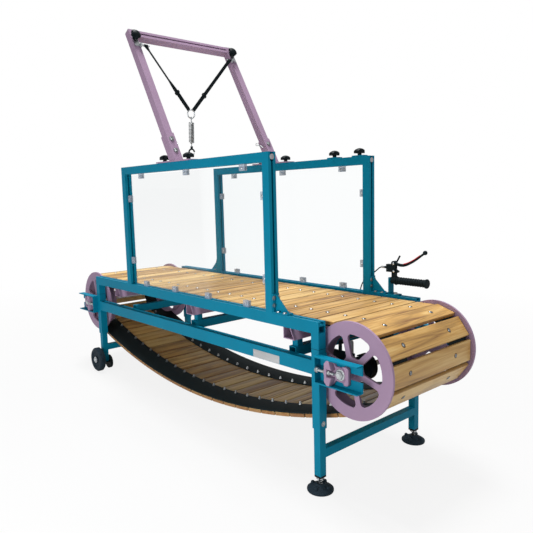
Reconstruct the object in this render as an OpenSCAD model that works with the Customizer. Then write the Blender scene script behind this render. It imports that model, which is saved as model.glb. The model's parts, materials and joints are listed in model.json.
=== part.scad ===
// Dog-powered slat treadmill: a teal profile frame, two lilac drums, a hanging loop of
// wooden slats, clear side panels, a leaning mast with a sprung tether, and a hand brake.
// Everything is drawn square to the deck and then tilted, so that the rear wheels and the
// levelling feet stand on the floor. +X is the front, -Y the near side.

/* [Frame] */
// Side of the square frame profile
prof = 40; // [36:1:44]
// Width of the groove in the frame profile
slot_w = 10; // [8:1:12]
// Overall width across the deck rails
frame_w = 684; // [660:1:740]
// Length of a deck rail
rail_len = 1932; // [1880:1:1960]
// Height of a deck rail section
rail_h = 48; // [44:1:54]
// Height of the deck rail tops above the datum
rail_top = 608; // [600:1:640]
// Height of the short posts under the rail ends
corner_post_h = 61; // [50:1:70]
// Slope of the deck, front end up
tilt = 2.6; // [0:0.1:4]

/* [Side frames] */
// Length of a side frame over its posts
side_len = 1247; // [1100:1:1300]
// Distance of a side frame's middle in front of the deck's middle
side_shift = 80; // [40:1:120]
// Height of a side frame above the deck rail
side_h = 660; // [560:1:720]
// Thickness of a clear panel
panel_t = 4; // [3:0.5:6]
// Gap between a panel's edge and the profile round it
panel_gap = 8; // [5:1:12]
// Length of a panel clip along the panel's edge
clip_len = 36; // [28:1:44]
// Depth of a panel clip from the profile
clip_reach = 28; // [22:1:34]
// Thickness of a panel clip
clip_t = 16; // [12:1:20]
// Height of a corner bracket's upright leg
bracket_up = 80; // [64:1:96]
// Length of a corner bracket's lying leg
bracket_out = 88; // [70:1:100]
// Width of a corner bracket
bracket_w = 36; // [28:1:36]
// Thickness of a corner bracket's legs
bracket_t = 6; // [4:1:8]

/* [Base] */
// Height of a middle rail
mid_rail_h = 56; // [48:1:64]
// Distance from the top of the base to a middle rail
mid_rail_drop = 47; // [36:1:60]
// Wall of the base tubes
sleeve_wall = 3; // [2:0.5:3]
// Clearance of a leg in its sleeve
leg_gap = 0.5; // [0.3:0.1:1]
// Length of a front sleeve
front_sleeve_len = 323; // [280:1:340]
// Length of a rear sleeve
rear_sleeve_len = 256; // [230:1:280]
// Length of front leg that shows below its sleeve
front_leg_out = 195; // [180:1:210]
// Length of rear leg that shows below its sleeve
rear_leg_out = 185; // [170:1:200]
// Length of leg inside its sleeve
leg_insert = 160; // [130:1:190]
// Height of the bar between two legs
leg_bar_h = 35; // [28:1:42]
// Height of that bar above the legs' ends
leg_bar_up = 73; // [60:1:84]
// Height of the cap on a leg's end
cap_h = 8; // [5:1:12]

/* [Feet and wheels] */
// Diameter of a levelling foot
foot_d = 108; // [90:1:116]
// Height of a levelling foot's pad
foot_h = 30; // [24:1:34]
// Diameter of a foot's screw
stem_d = 16; // [12:1:16]
// Diameter of the ball on a foot's screw
swivel_d = 22; // [20:1:24]
// Diameter of a wheel
wheel_d = 150; // [130:1:160]
// Width of a wheel
wheel_w = 36; // [28:1:44]
// Diameter of a wheel's axle bolt
wheel_axle_d = 12; // [10:1:14]
// Height of the wheel axles above the rear legs' ends
wheel_axle_up = 20; // [16:1:28]
// Gap between a wheel and the sleeve's outer face
wheel_gap = 9; // [6:1:14]

/* [Drums] */
// Distance of a drum axle beyond the deck rails' ends
drum_out = 115.5; // [110:0.5:124]
// Depth of the drum axles below the deck rail tops
drum_drop = 178; // [174:1:184]
// Diameter of a drum disc
disc_d = 379; // [372:1:386]
// Thickness of a drum disc
disc_t = 10; // [8:1:12]
// Gap between a deck rail's inner face and a drum disc
disc_side_gap = 15; // [12:1:20]
// Width of a disc's rim outside its windows
disc_rim = 48; // [40:1:54]
// Width of a spoke
spoke_w = 24; // [18:1:30]
// Number of spokes
spokes = 6; // [5:1:6]
// Radius of the round corners of a window
window_r = 16; // [10:1:18]
// Diameter of a disc's hub plate
hub_d = 104; // [92:1:116]
// Wall of the ring that the belt runs on
ring_t = 4; // [3:0.5:6]
// Width of the ring that the belt runs on
ring_w = 50; // [40:1:52]
// Diameter of a drum axle
axle_d = 20; // [16:1:24]
// Diameter of the collar that holds a disc on its axle
collar_d = 52; // [44:1:64]
// Running clearance of an axle in its bearing
bearing_gap = 0.05; // [0.02:0.01:0.08]

/* [Slats and belts] */
// Number of slats in the loop
slat_n = 56; // [54:1:58]
// Width of a slat
slat_w = 89; // [80:1:90]
// Thickness of a slat
slat_t = 16; // [14:1:18]
// Gap between a slat's end and the disc
slat_end_gap = 2; // [1:0.5:4]
// Distance of the belt's middle line from the drum axle
belt_r = 153.5; // [151:0.5:156]
// Thickness of a belt
belt_t = 5; // [4:0.5:6]
// Width of a belt
belt_w = 130; // [110:1:136]
// Slope of the slack run where it leaves a drum
slack_angle = 20; // [17:0.5:22]
// Clearance between a belt and what it runs on
run_gap = 0.4; // [0.3:0.1:0.6]

/* [Deck supports] */
// Height of a cross tube between the middle rails
cross_tube_h = 40; // [34:1:46]
// Rise of a cross tube above the middle rails
cross_tube_rise = 20; // [12:1:26]
// Distance of the rear cross tube from the deck rails' rear ends
rear_tube_in = 416; // [366:1:466]
// Distance of the middle cross tube in front of the deck's middle
mid_tube_x = 60; // [20:1:100]
// Distance of the front cross tube from the deck rails' front ends
front_tube_in = 186; // [166:1:226]
// Distance of the rear cross channel from the deck rails' rear ends
rear_channel_in = 249; // [226:1:276]
// Width of a cross channel across its top
channel_w = 64; // [54:1:72]
// Height of a cross channel
channel_h = 54; // [46:1:58]
// Thickness of a cross channel's sheet
channel_t = 4; // [3:0.5:5]
// Width of a stay between a cross tube and a channel
stay_w = 30; // [24:1:36]
// Width of a belt slide
slide_w = 36; // [28:1:44]

/* [Take-up bearings] */
// Length of a take-up bracket in front of its leg
takeup_len = 210; // [196:1:224]
// Height of a take-up bracket
takeup_h = 106; // [102:1:112]
// Reach of a take-up bracket beyond the deck rail's outer face
takeup_out = 29; // [24:1:34]
// Width of an angle iron's lying leg
takeup_leg = 36; // [32:1:38]
// Height of an angle iron's upright leg
takeup_web = 40; // [32:1:41]
// Thickness of an angle iron
takeup_t = 5; // [4:0.5:6]
// Length of a bearing block along its bracket
block_len = 124; // [116:1:130]
// Thickness of a bearing block
block_t = 34; // [30:1:38]
// Diameter of the round recess in a bearing block's face
recess_d = 58; // [50:1:62]
// Thickness of a bearing block in its recess
recess_t = 10; // [8:1:11]
// Diameter of a tension bolt
tension_d = 12; // [10:1:14]

/* [Mast] */
// Backward lean of the mast
mast_lean = 29.5; // [20:0.5:35]
// Length of a mast upright
upright_len = 800; // [700:1:900]
// Wall of a mast socket
socket_wall = 4; // [3:0.5:5]
// Length of a mast socket
socket_len = 150; // [120:1:180]
// Length of a mast base plate
base_len = 293; // [280:1:320]
// Thickness of a mast base plate
base_t = 6; // [5:1:8]
// Distance of a base knob from the mast's foot
base_knob_x = 107; // [105:1:118]
// Diameter of a star knob
knob_d = 56; // [48:1:60]
// Height of a star knob
knob_h = 34; // [28:1:40]
// Diameter of a star knob's screw
knob_screw_d = 8; // [6:1:8]
// Length of a clamp plate on the far beam
clamp_len = 70; // [58:1:80]
// Distance of the rear clamp plate behind the far beam's front end
clamp_rear_back = 235.5; // [224:0.5:264]
// Distance of the front clamp plate behind the far beam's front end
clamp_front_back = 73.5; // [64:0.5:104]

/* [Tether] */
// Distance of a strap's eye below the mast's top, along the upright
eye_drop = 110; // [95:1:140]
// Distance of a strap's eye from the upright's inner face
eye_in = 22; // [16:1:30]
// Width of a strap
strap_w = 22; // [18:1:26]
// Thickness of a strap
strap_t = 4; // [3:0.5:5]
// Drop of the ring's middle below the strap eyes
ring_drop = 330; // [300:1:350]
// Outer diameter of the ring
ring_d = 54; // [46:1:60]
// Thickness of the ring's wire
ring_wire = 7; // [6:0.5:8]
// Outer diameter of the spring
spring_d = 32; // [28:1:38]
// Thickness of the spring's wire
spring_wire = 4; // [3:0.5:4.5]
// Length of the spring's wound part
spring_len = 122; // [112:1:134]
// Number of turns in the spring
spring_turns = 14; // [12:1:15]
// Length of the straight wire at each end of the spring
spring_tail = 15; // [10:1:18]
// Outer diameter of the snap hook
hook_d = 46; // [38:1:52]
// Thickness of the snap hook
hook_t = 9; // [7:1:11]

/* [Brake handle] */
// Gap between the corner bracket and the handle bracket
handle_gap = 21.5; // [8:0.5:44]
// Height of the handlebar above the rail
handle_up = 70; // [60:1:84]
// Thickness of the handle bracket's plate
handle_t = 6; // [5:1:8]
// Width of the handle bracket
handle_w = 36; // [30:1:38]
// Length of the handle bracket's foot
handle_foot = 46; // [38:1:54]
// Diameter of the handlebar
bar_d = 22; // [20:1:24]
// Length of the handlebar
bar_len = 191; // [180:1:210]
// Diameter of the grip
grip_d = 36; // [32:1:40]
// Diameter of the flange at the grip's end
grip_flange_d = 43; // [40:1:48]
// Length of the lever's clamp along the bar
clamp_w = 20; // [16:1:24]
// Height of the lever's pivot above the bar
pivot_up = 80; // [72:1:88]
// Diameter of the lever's pivot pin
pivot_d = 6; // [5:1:7]
// Length of the lever from its pivot to its ball
lever_len = 166; // [140:1:180]
// Thickness of the lever
lever_t = 9; // [7:1:10]
// Diameter of the ball on the lever's end
ball_d = 21; // [17:1:24]
// Length of the lock lever
lock_len = 45; // [36:1:50]

/* [Brake] */
// Diameter of the brake drum
brake_d = 90; // [80:1:96]
// Width of the brake drum
brake_w = 36; // [30:1:40]
// Thickness of the brake band
band_t = 5; // [4:0.5:6]
// Gap between the brake band and its drum
band_gap = 0.6; // [0.4:0.1:1]
// Distance of the brake from the near disc
brake_in = 66; // [60:1:80]
// Length of the brake arm
arm_len = 62; // [52:1:70]
// Diameter of the brake cable
cable_d = 5; // [4:0.5:6]

/* [Hidden] */
$fn = 48;

// One overrun for every cut, and the clearances between pieces that move
cut = 1;
slip = 0.3;
screw_slip = 0.05;

// Frame colours
teal = "#00738f";
lilac = "#a58caa";
wood = "#c9a26d";
black = "#1c1d20";
zinc = "#c4c8cc";

// Sections of the frame profile
slot_lip = 3;
slot_in_w = 18;
slot_in_d = 7;
core_d = 8;
rail_wall = 4;

// Lines that the frame is set out on
rail_x = rail_len / 2;
rail_y = frame_w / 2 - prof / 2;
rail_in = frame_w / 2 - prof;
rail_out = frame_w / 2;
rail_bot = rail_top - rail_h;
seam_z = rail_bot - corner_post_h;
leg_x = rail_x - prof / 2;
mid_top = seam_z - mid_rail_drop;
beam_top = rail_top + side_h;
beam_bot = beam_top - prof;
side_rear = side_shift - side_len / 2;
side_front = side_shift + side_len / 2;

// Legs, feet and wheels
leg_side = prof - 2 * sleeve_wall - 2 * leg_gap;
leg_wall = 2.5;
front_sleeve_bot = seam_z - front_sleeve_len;
rear_sleeve_bot = seam_z - rear_sleeve_len;
front_leg_bot = front_sleeve_bot - front_leg_out;
rear_leg_bot = rear_sleeve_bot - rear_leg_out;
wheel_z = rear_leg_bot + wheel_axle_up;
wheel_y = rail_out + wheel_gap + wheel_w / 2;
wheel_hub_d = 46;
wheel_face_dish = 5;
axle_head_h = 7;
axle_head_d = 20;
bumper_d = 84;
bumper_t = 16;
bumper_drop = 28;
stem_head = 20;
foot_nut_h = 8;
swivel_up_share = 0.62;

// The tilt lifts the front until the feet and the wheels stand on one floor
lift = wheel_d / 2 + leg_x * sin(tilt) - wheel_z * cos(tilt);
swivel_up = foot_h * swivel_up_share;
swivel_z = (swivel_up - lift - leg_x * sin(tilt)) / cos(tilt);

// Drums and their bearings
drum_x = rail_x + drum_out;
drum_span = 2 * drum_x;
drum_z = rail_top - drum_drop;
slide_back = drum_z * sin(tilt);
disc_out = rail_in - disc_side_gap;
disc_in = disc_out - disc_t;
ring_r = belt_r - belt_t / 2 - run_gap;
window_out = disc_d / 2 - disc_rim;
window_in = hub_d / 2;
collar_t = 12;
takeup_x = rail_x + takeup_len;
takeup_y = rail_out + takeup_out;
web_y = takeup_y - takeup_leg;
block_y = web_y + takeup_t;
block_h = takeup_h - 2 * takeup_t - 2 * slip;
block_corner = 12;
block_wall = 12;
pocket_wide_share = 0.62;
pocket_slim_share = 0.34;
tension_nut_d = 21;
nut_room = 2;
tension_in = (recess_t + block_t) / 2;
axle_out = 2;
axle_end = block_y + recess_t + axle_out;

// The loop that the belts follow, as distances along it from the rear drum's top
slack_x = drum_x + belt_r * sin(slack_angle);
slack_z = -belt_r * cos(slack_angle);
slack_k = tan(slack_angle) / slack_x;
slack_low = slack_z - slack_k * slack_x * slack_x / 2;
wrap_angle = 180 - slack_angle;
wrap_len = belt_r * wrap_angle * PI / 180;
slack_len = 2 * arc_of(slack_x);
loop_len = drum_span + 2 * wrap_len + slack_len;
pitch = loop_len / slat_n;
phase = drum_span + belt_r * PI / 2;
slat_len = 2 * (disc_in - slat_end_gap);
belt_out = disc_in - slat_end_gap;
wrap_steps = 40;
slack_steps = 48;

// Deck supports
cross_top = mid_top + cross_tube_rise;
front_tube_x = rail_x - front_tube_in;
tube_xs = [rear_tube_in - rail_x, mid_tube_x, front_tube_x];
channel_xs = [rear_channel_in - rail_x, mid_tube_x, front_tube_x];
channel_z = rail_bot - channel_h;
channel_slant_share = 0.42;
slide_top = drum_z + belt_r - belt_t / 2 - run_gap;
slide_y = belt_out - belt_w / 2;
slide_end = drum_x - disc_d / 2 - takeup_t;

// Mast
mast_x = 0;
base_w = 58;
socket_side = prof + 2 * socket_wall;
socket_bolt_d = 9;
socket_bolt_h = 6;
socket_bolt_shares = [0.3, 0.75];
socket_start = socket_side * tan(mast_lean) / 2;
base_z = beam_top + slip + base_t;
knob_lobes = 5;
knob_core_share = 0.72;
knob_lobe_share = 0.36;
knob_neck_d = 20;
knob_neck_h = 10;
knob_fall = 13;
knob_dome_r = (knob_d * knob_d / 4 + knob_fall * knob_fall) / (2 * knob_fall);
clamp_xs = [side_front - clamp_rear_back, side_front - clamp_front_back];
upright_wall = 3;
eye_knob_drop = 50;
eye_knob_along = upright_len - eye_knob_drop;
base_screw = base_t + slip + slot_lip + slot_in_d / 2;
eye_plate_t = 4;
eye_plate_w = 30;
eye_pin_d = 8;
eye_loop_d = 14;
eye_pin_out = 9;
eye_lug_t = 10;

// Tether
eye_along = upright_len - eye_drop;
eye_y = rail_y - prof / 2 - eye_in;
eye_front = prof / 2 + eye_plate_t + eye_pin_out;
eye_x = mast_x - eye_along * sin(mast_lean) + eye_front * cos(mast_lean);
eye_z = base_z + eye_along * cos(mast_lean) + eye_front * sin(mast_lean);
ring_z = eye_z - ring_drop;
spring_top = ring_z - ring_d / 2 - slip;
hook_top = spring_top - spring_len - 2 * spring_tail - slip;
buckle_share = 0.68;
buckle_w = 30;
buckle_l = 12;
buckle_t = 8;
strap_seat_share = 0.72;
hook_swivel_d = 14;
hook_swivel_h = 16;
hook_open = [-58, 8];
gate_d = 6;

// Brake handle
handle_x = side_front + bracket_out + handle_gap;
bar_x = handle_x + handle_t;
bar_z = rail_top + handle_up;
handle_top = bar_z + bar_d / 2 + handle_t / 2;
clamp_x = bar_x + handle_t;
clamp_d = bar_d + 2 * handle_t;
grip_x = clamp_x + clamp_w + slip;
grip_end = bar_x + bar_len + handle_t;
pivot_x = clamp_x + clamp_w / 2;
pivot_z = bar_z + pivot_up;
cheek_t = 4;
cheek_gap = 0.5;
body_t = lever_t + 2 * cheek_t + 2 * cheek_gap;
boss_r = 13;
neck_w = 20;
cable_boss_d = 12;
cable_boss_drop = 9;
tank_len = 28;
tank_h = 32;
blade_w = 13;
blade_shares = [[0, 0], [0.3, -0.03], [0.62, 0.1], [1, 0.36]];
lock_pin_d = 5;
lock_t = 4;
lock_w = 7;
lock_angle = 59;
foot_bolt_d = 14;
foot_bolt_h = 6;

// Brake
brake_y = -(disc_in - brake_in);
plate_t = 6;
plate_h = 44;
band_r = brake_d / 2 + band_gap;
band_open = 50;
band_mouth = 22;
arm_pin_d = 10;
arm_t = 6;
arm_w = 16;
arm_back = 68;
stop_side = 14;
stop_back = 46;
arm_x = drum_x - arm_back;
arm_z = cross_top - plate_h / 2;
arm_y = brake_y + plate_t / 2 + slip;

// Route of the brake cable: bends placed by hand from the lever's barrel, then from the brake's stop
cable_start = [pivot_x - boss_r - tank_len - cable_boss_d, rail_y, pivot_z - cable_boss_drop - cable_boss_d];
cable_end = [
  arm_x - stop_back - stop_side / 2,
  brake_y + (plate_t + stop_side) / 2,
  arm_z + arm_len - stop_side / 2
];
lever_bends = [
  [0, 0, 0], [-14, 0, 0], [-34, 4, -5], [-60, 18, -19], [-87, 29, -35],
  [-127, 31, -61], [-160, 31, -93], [-176, 31, -133], [-176, 31, -175]
];
brake_bends = [
  [-338, 551, 20], [-305, 533, -5], [-260, 496, -14], [-208, 439, -16], [-145, 366, -18], [-100, 281, -19],
  [-65, 191, -17], [-40, 101, -10], [-25, 41, -3], [-13, 11, 0], [-6, 0, 0], [0, 0, 0]
];
cable_route = concat([for (p = lever_bends) cable_start + p], [for (p = brake_bends) cable_end + p]);
cable_sides = 8;

function arc_of(x) =
  let (u = slack_k * x)
  x * sqrt(1 + u * u) / 2 + ln(u + sqrt(u * u + 1)) / (2 * slack_k);
function x_of_arc(s, x, n) =
  n == 0 ? x : x_of_arc(s, x - (arc_of(x) - s) / sqrt(1 + pow(slack_k * x, 2)), n - 1);

// Place and slope on the loop at distance s: x, z and the turn of the outward side from up
function on_deck(s) = [s - drum_x, belt_r, 0];
function on_front(s) =
  let (a = s * 180 / PI / belt_r)
  [drum_x + belt_r * sin(a), belt_r * cos(a), a];
function on_slack(s) =
  let (x = x_of_arc(slack_len / 2 - s, slack_len / 2 - s, 6))
  [x, slack_low + slack_k * x * x / 2, 180 - atan(slack_k * x)];
function on_rear(s) =
  let (a = 180 + slack_angle + s * 180 / PI / belt_r)
  [-drum_x + belt_r * sin(a), belt_r * cos(a), a];
function on_loop(s) =
  s < drum_span ? on_deck(s) :
  s < drum_span + wrap_len ? on_front(s - drum_span) :
  s < drum_span + wrap_len + slack_len ? on_slack(s - drum_span - wrap_len) :
  on_rear(s - drum_span - wrap_len - slack_len);
function slat_s(i) =
  let (s = phase + i * pitch)
  s >= loop_len ? s - loop_len : s;
function shifted(p, d) = [p[0] + d * sin(p[2]), p[1] + d * cos(p[2])];
function loop_line(d) = [
  for (s = [0, drum_span]) shifted(on_deck(s), d),
  for (i = [1:wrap_steps]) shifted(on_front(wrap_len * i / wrap_steps), d),
  for (i = [1:slack_steps - 1]) shifted(on_slack(slack_len * i / slack_steps), d),
  for (i = [0:wrap_steps - 1]) shifted(on_rear(wrap_len * i / wrap_steps), d)
];
function arc_pts(c, r, a0, a1, n) = [
  for (i = [0:n]) let (a = a0 + (a1 - a0) * i / n) [c[0] + r * cos(a), c[1] + r * sin(a)]
];

// A tube of any route: rings square to the route, joined by triangles
function unit(v) = v / norm(v);
function heading(p, i) = unit(p[min(i + 1, len(p) - 1)] - p[max(i - 1, 0)]);
function side_of(t) = abs(t[2]) > 0.95 ? unit(cross(t, [0, 1, 0])) : unit(cross(t, [0, 0, 1]));
function ring_pts(p, i, r, n) =
  let (t = heading(p, i), a = side_of(t), b = cross(t, a))
  [for (k = [0:n - 1]) p[i] + r * (a * cos(360 * k / n) + b * sin(360 * k / n))];
module tube(p, d, n) {
  m = len(p);
  points = [for (i = [0:m - 1]) each ring_pts(p, i, d / 2, n)];
  walls = [
    for (i = [0:m - 2], k = [0:n - 1])
      let (a = i * n + k, b = i * n + (k + 1) % n)
      each [[a, b, a + n], [b, b + n, a + n]]
  ];
  start = [for (k = [1:n - 2]) [0, k + 1, k]];
  end = [for (k = [1:n - 2]) [(m - 1) * n, (m - 1) * n + k, (m - 1) * n + k + 1]];
  polyhedron(points, concat(walls, start, end));
}

// The spring's helix, with its radius growing from and falling back to the axis
helix_r = (spring_d - spring_wire) / 2;
curl_rings = 8;
spring_sides = 6;
grow_turns = 0.75;
function helix_at(t) =
  let (g = min(1, t / grow_turns, (spring_turns - t) / grow_turns))
  [helix_r * g * cos(360 * t), helix_r * g * sin(360 * t), -spring_len * t / spring_turns];
function helix_route() = [
  [0, 0, spring_tail], [0, 0, spring_tail / 2],
  for (i = [0:spring_turns * curl_rings]) helix_at(i / curl_rings),
  [0, 0, -spring_len - spring_tail / 2], [0, 0, -spring_len - spring_tail]
];
spring_gap = min([
  for (i = [0:spring_turns * curl_rings - curl_rings], k = [-1:1])
    norm(helix_at(i / curl_rings) - helix_at(min(spring_turns, (i + curl_rings + k) / curl_rings)))
]) - spring_wire;
echo(spring_gap = spring_gap);

module deck() translate([slide_back, 0, lift]) rotate([0, -tilt, 0]) children();
module both_sides() {
  children();
  mirror([0, 1, 0]) children();
}
module both_ends() {
  children();
  mirror([1, 0, 0]) children();
}
module span(x, y, z) translate([x[0], y[0], z[0]]) cube([x[1] - x[0], y[1] - y[0], z[1] - z[0]]);
module rod_y(d, y0, y1) translate([0, y0, 0]) rotate([-90, 0, 0]) cylinder(d = d, h = y1 - y0);
module rod_x(d, x0, x1) translate([x0, 0, 0]) rotate([0, 90, 0]) cylinder(d = d, h = x1 - x0);

// Frame profile: a groove in each end of the vertical axis and a bore in the core
module groove() {
  translate([-slot_w / 2, -slot_lip]) square([slot_w, slot_lip + cut]);
  translate([-slot_in_w / 2, -slot_lip - slot_in_d]) square([slot_in_w, slot_in_d]);
}
module profile() difference() {
  square(prof, center = true);
  translate([0, prof / 2]) groove();
  rotate(180) translate([0, prof / 2]) groove();
  circle(d = core_d);
}
module rail_section() difference() {
  translate([-prof / 2, -rail_h]) square([prof, rail_h]);
  groove();
  translate([-prof / 2 + rail_wall, rail_wall - rail_h])
    square([prof - 2 * rail_wall, rail_h - slot_lip - slot_in_d - 3 * rail_wall]);
}
module along_x(x0, x1) translate([x0, 0, 0]) rotate([90, 0, 90]) linear_extrude(x1 - x0) children();

module deck_rails() color(teal) deck() both_sides()
  translate([0, rail_y, rail_top]) along_x(-rail_x, rail_x) rail_section();

module corner_posts() color(teal) deck() both_ends() both_sides()
  translate([leg_x, rail_y, seam_z]) linear_extrude(corner_post_h) difference() {
    square(prof, center = true);
    square(prof - 2 * sleeve_wall, center = true);
  }

// Base: open sleeves for the legs, with a middle rail between two of them on each side
module sleeve(x, len) translate([x, rail_y, seam_z - len]) linear_extrude(len) difference() {
  square(prof, center = true);
  square(prof - 2 * sleeve_wall, center = true);
}
module base_sleeves() color(teal) deck() both_sides() {
  sleeve(leg_x, front_sleeve_len);
  sleeve(-leg_x, rear_sleeve_len);
}
module mid_rails() color(teal) deck() both_sides()
  translate([0, rail_y, mid_top]) along_x(prof - rail_x, rail_x - prof) difference() {
    translate([-prof / 2, -mid_rail_h]) square([prof, mid_rail_h]);
    translate([sleeve_wall - prof / 2, sleeve_wall - mid_rail_h])
      square([prof - 2 * sleeve_wall, mid_rail_h - 2 * sleeve_wall]);
  }

// Cross tubes between the middle rails, with stays that carry the channels above them
module cross_tube(x) {
  translate([x, -rail_in, cross_top - cross_tube_h / 2]) rotate([-90, 0, 0])
    linear_extrude(2 * rail_in) difference() {
      square([prof, cross_tube_h], center = true);
      square([prof - 2 * sleeve_wall, cross_tube_h - 2 * sleeve_wall], center = true);
    }
}
module stays(x) for (y = [stay_w - rail_in, 0, rail_in - stay_w])
  span([x - stay_w / 2, x + stay_w / 2], [y - stay_w / 2, y + stay_w / 2], [cross_top, channel_z]);
module cross_tubes() color(teal) deck() {
  for (x = tube_xs) cross_tube(x);
  for (x = [mid_tube_x, front_tube_x]) stays(x);
}

// Folded channels across the deck: a flat top, a square rear wall and a slanted front wall
module channel_section() {
  slant = channel_h * channel_slant_share;
  difference() {
    polygon([
      [-channel_w / 2, 0], [channel_w / 2 - slant, 0], [channel_w / 2, -channel_h],
      [-channel_w / 2, -channel_h]
    ]);
    polygon([
      [channel_t - channel_w / 2, -channel_t], [channel_w / 2 - slant - channel_t, -channel_t],
      [channel_w / 2 - channel_t, channel_t - channel_h], [channel_t - channel_w / 2, channel_t - channel_h]
    ]);
  }
}
module cross_channels() color(lilac) deck() for (x = channel_xs)
  translate([x, rail_y, rail_bot]) rotate([90, 0, 0]) linear_extrude(2 * rail_y) channel_section();

// Slides that carry the upper run of the belts between the drums
module belt_slides() color(black) deck() both_sides()
  span([-slide_end, slide_end], [slide_y - slide_w / 2, slide_y + slide_w / 2], [rail_bot, slide_top]);

// Take-up brackets: an end plate on a leg with two angle irons, and a bearing block between them
module takeup_angle() {
  span([rail_x, takeup_x], [web_y, takeup_y], [takeup_h / 2 - takeup_t, takeup_h / 2]);
  span([rail_x, takeup_x], [web_y, block_y], [takeup_h / 2 - takeup_web, takeup_h / 2]);
}
module takeup_brackets() color(teal) deck() both_ends() both_sides() translate([0, 0, drum_z]) {
  span([rail_x, rail_x + takeup_t], [rail_in, takeup_y], [-takeup_h / 2, takeup_h / 2]);
  takeup_angle();
  mirror([0, 0, 1]) takeup_angle();
}

// A block has a deep recess round the axle, open above and below, and a slot for the tension bolt
module block_outline() {
  x = block_len / 2;
  z = block_h / 2;
  c = block_corner;
  polygon([
    [c - x, -z], [x - c, -z], [x, c - z], [x, z - c],
    [x - c, z], [c - x, z], [-x, z - c], [-x, c - z]
  ]);
}
module block_recess() {
  z = block_h / 2 + cut;
  wide = block_len / 2 * pocket_wide_share;
  slim = block_len / 2 * pocket_slim_share;
  room = tension_nut_d / 2 + nut_room;
  circle(d = recess_d);
  polygon([[-wide, z], [-slim, 0], [-wide, -z], [wide, -z], [slim, 0], [wide, z]]);
  translate([block_wall - block_len / 2, -room]) square([block_len / 2 - block_wall, 2 * room]);
}
module bearing_blocks() color(lilac) deck() both_ends() both_sides()
  translate([drum_x, block_y, drum_z]) difference() {
    rotate([-90, 0, 0]) difference() {
      linear_extrude(block_t) block_outline();
      translate([0, 0, recess_t]) linear_extrude(block_t) block_recess();
      translate([0, 0, -cut]) cylinder(d = axle_d + 2 * bearing_gap, h = block_t);
    }
    translate([0, tension_in, 0]) rod_x(tension_d + 2 * slip, -block_len / 2 - cut, -recess_d / 2);
  }
module tension_bolts() color(zinc) deck() both_ends() both_sides()
  translate([0, block_y + tension_in, drum_z]) {
    rod_x(tension_d, rail_x + takeup_t, drum_x - recess_d / 2);
    rod_x(tension_nut_d, rail_x + takeup_t, rail_x + takeup_t + tension_d);
    translate([drum_x - block_len / 2 + block_wall + slip, 0, 0]) rod_x(tension_nut_d, 0, tension_d);
  }

// Side frames: two grooved posts, a grooved beam on top and a clear panel in clips
module side_posts() color(teal) deck() both_sides()
  for (x = [side_rear + prof / 2, side_front - prof / 2])
    translate([x, rail_y, rail_top]) rotate(90) linear_extrude(side_h - prof) profile();
module top_beams() color(teal) deck() both_sides()
  translate([0, rail_y, beam_top - prof / 2]) along_x(side_rear, side_front) profile();
panel_x = [side_rear + prof + panel_gap, side_front - prof - panel_gap];
panel_z = [rail_top + panel_gap, beam_bot - panel_gap];
module side_panels() color("#dfeff2", 0.35) deck() both_sides()
  span(panel_x, [rail_y - panel_t / 2, rail_y + panel_t / 2], panel_z);

// A clip stands on the profile and holds the panel's edge in its fork
module clip() difference() {
  span([-clip_len / 2, clip_len / 2], [-clip_t / 2, clip_t / 2], [0, clip_reach]);
  span([-clip_len / 2 - cut, clip_len / 2 + cut], [-panel_t / 2, panel_t / 2], [panel_gap, clip_reach + cut]);
}
low_clip_shares = [-0.375, -0.125, 0.125, 0.375];
top_clip_shares = [-0.375, 0, 0.375];
post_clip_shares = [0.22, 0.78];
clip_run = side_len - 2 * prof;
module panel_clips() color("#aeb6bf") deck() both_sides() translate([side_shift, rail_y, 0]) {
  for (s = low_clip_shares) translate([s * clip_run, 0, rail_top]) clip();
  for (s = top_clip_shares) translate([s * clip_run, 0, beam_bot]) rotate([180, 0, 0]) clip();
  both_ends() for (s = post_clip_shares)
    translate([clip_run / 2, 0, rail_top + s * (side_h - prof)]) rotate([0, -90, 0]) clip();
}

// Corner brackets between posts and rails, each with a web that is cut on the slant
module corner_bracket() {
  span([0, bracket_out], [-bracket_w / 2, bracket_w / 2], [0, bracket_t]);
  span([0, bracket_t], [-bracket_w / 2, bracket_w / 2], [0, bracket_up]);
  translate([0, bracket_t / 2, 0]) rotate([90, 0, 0]) linear_extrude(bracket_t)
    polygon([[0, 0], [bracket_out - bracket_t, 0], [bracket_out - bracket_t, bracket_t],
      [2 * bracket_t, bracket_up - bracket_t], [0, bracket_up - bracket_t]]);
}
module corner_brackets() color(teal) deck() {
  both_sides() translate([side_front, rail_y, rail_top]) corner_bracket();
  translate([side_rear, rail_y, rail_top]) mirror([1, 0, 0]) corner_bracket();
}
module clamp_plates() color(teal) deck() for (x = clamp_xs)
  translate([x, rail_y, beam_top]) difference() {
    span([-clamp_len / 2, clamp_len / 2], [-bracket_w / 2, bracket_w / 2], [0, bracket_t]);
    translate([0, 0, -cut]) cylinder(d = knob_screw_d + 2 * screw_slip, h = bracket_t + 2 * cut);
  }

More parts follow.
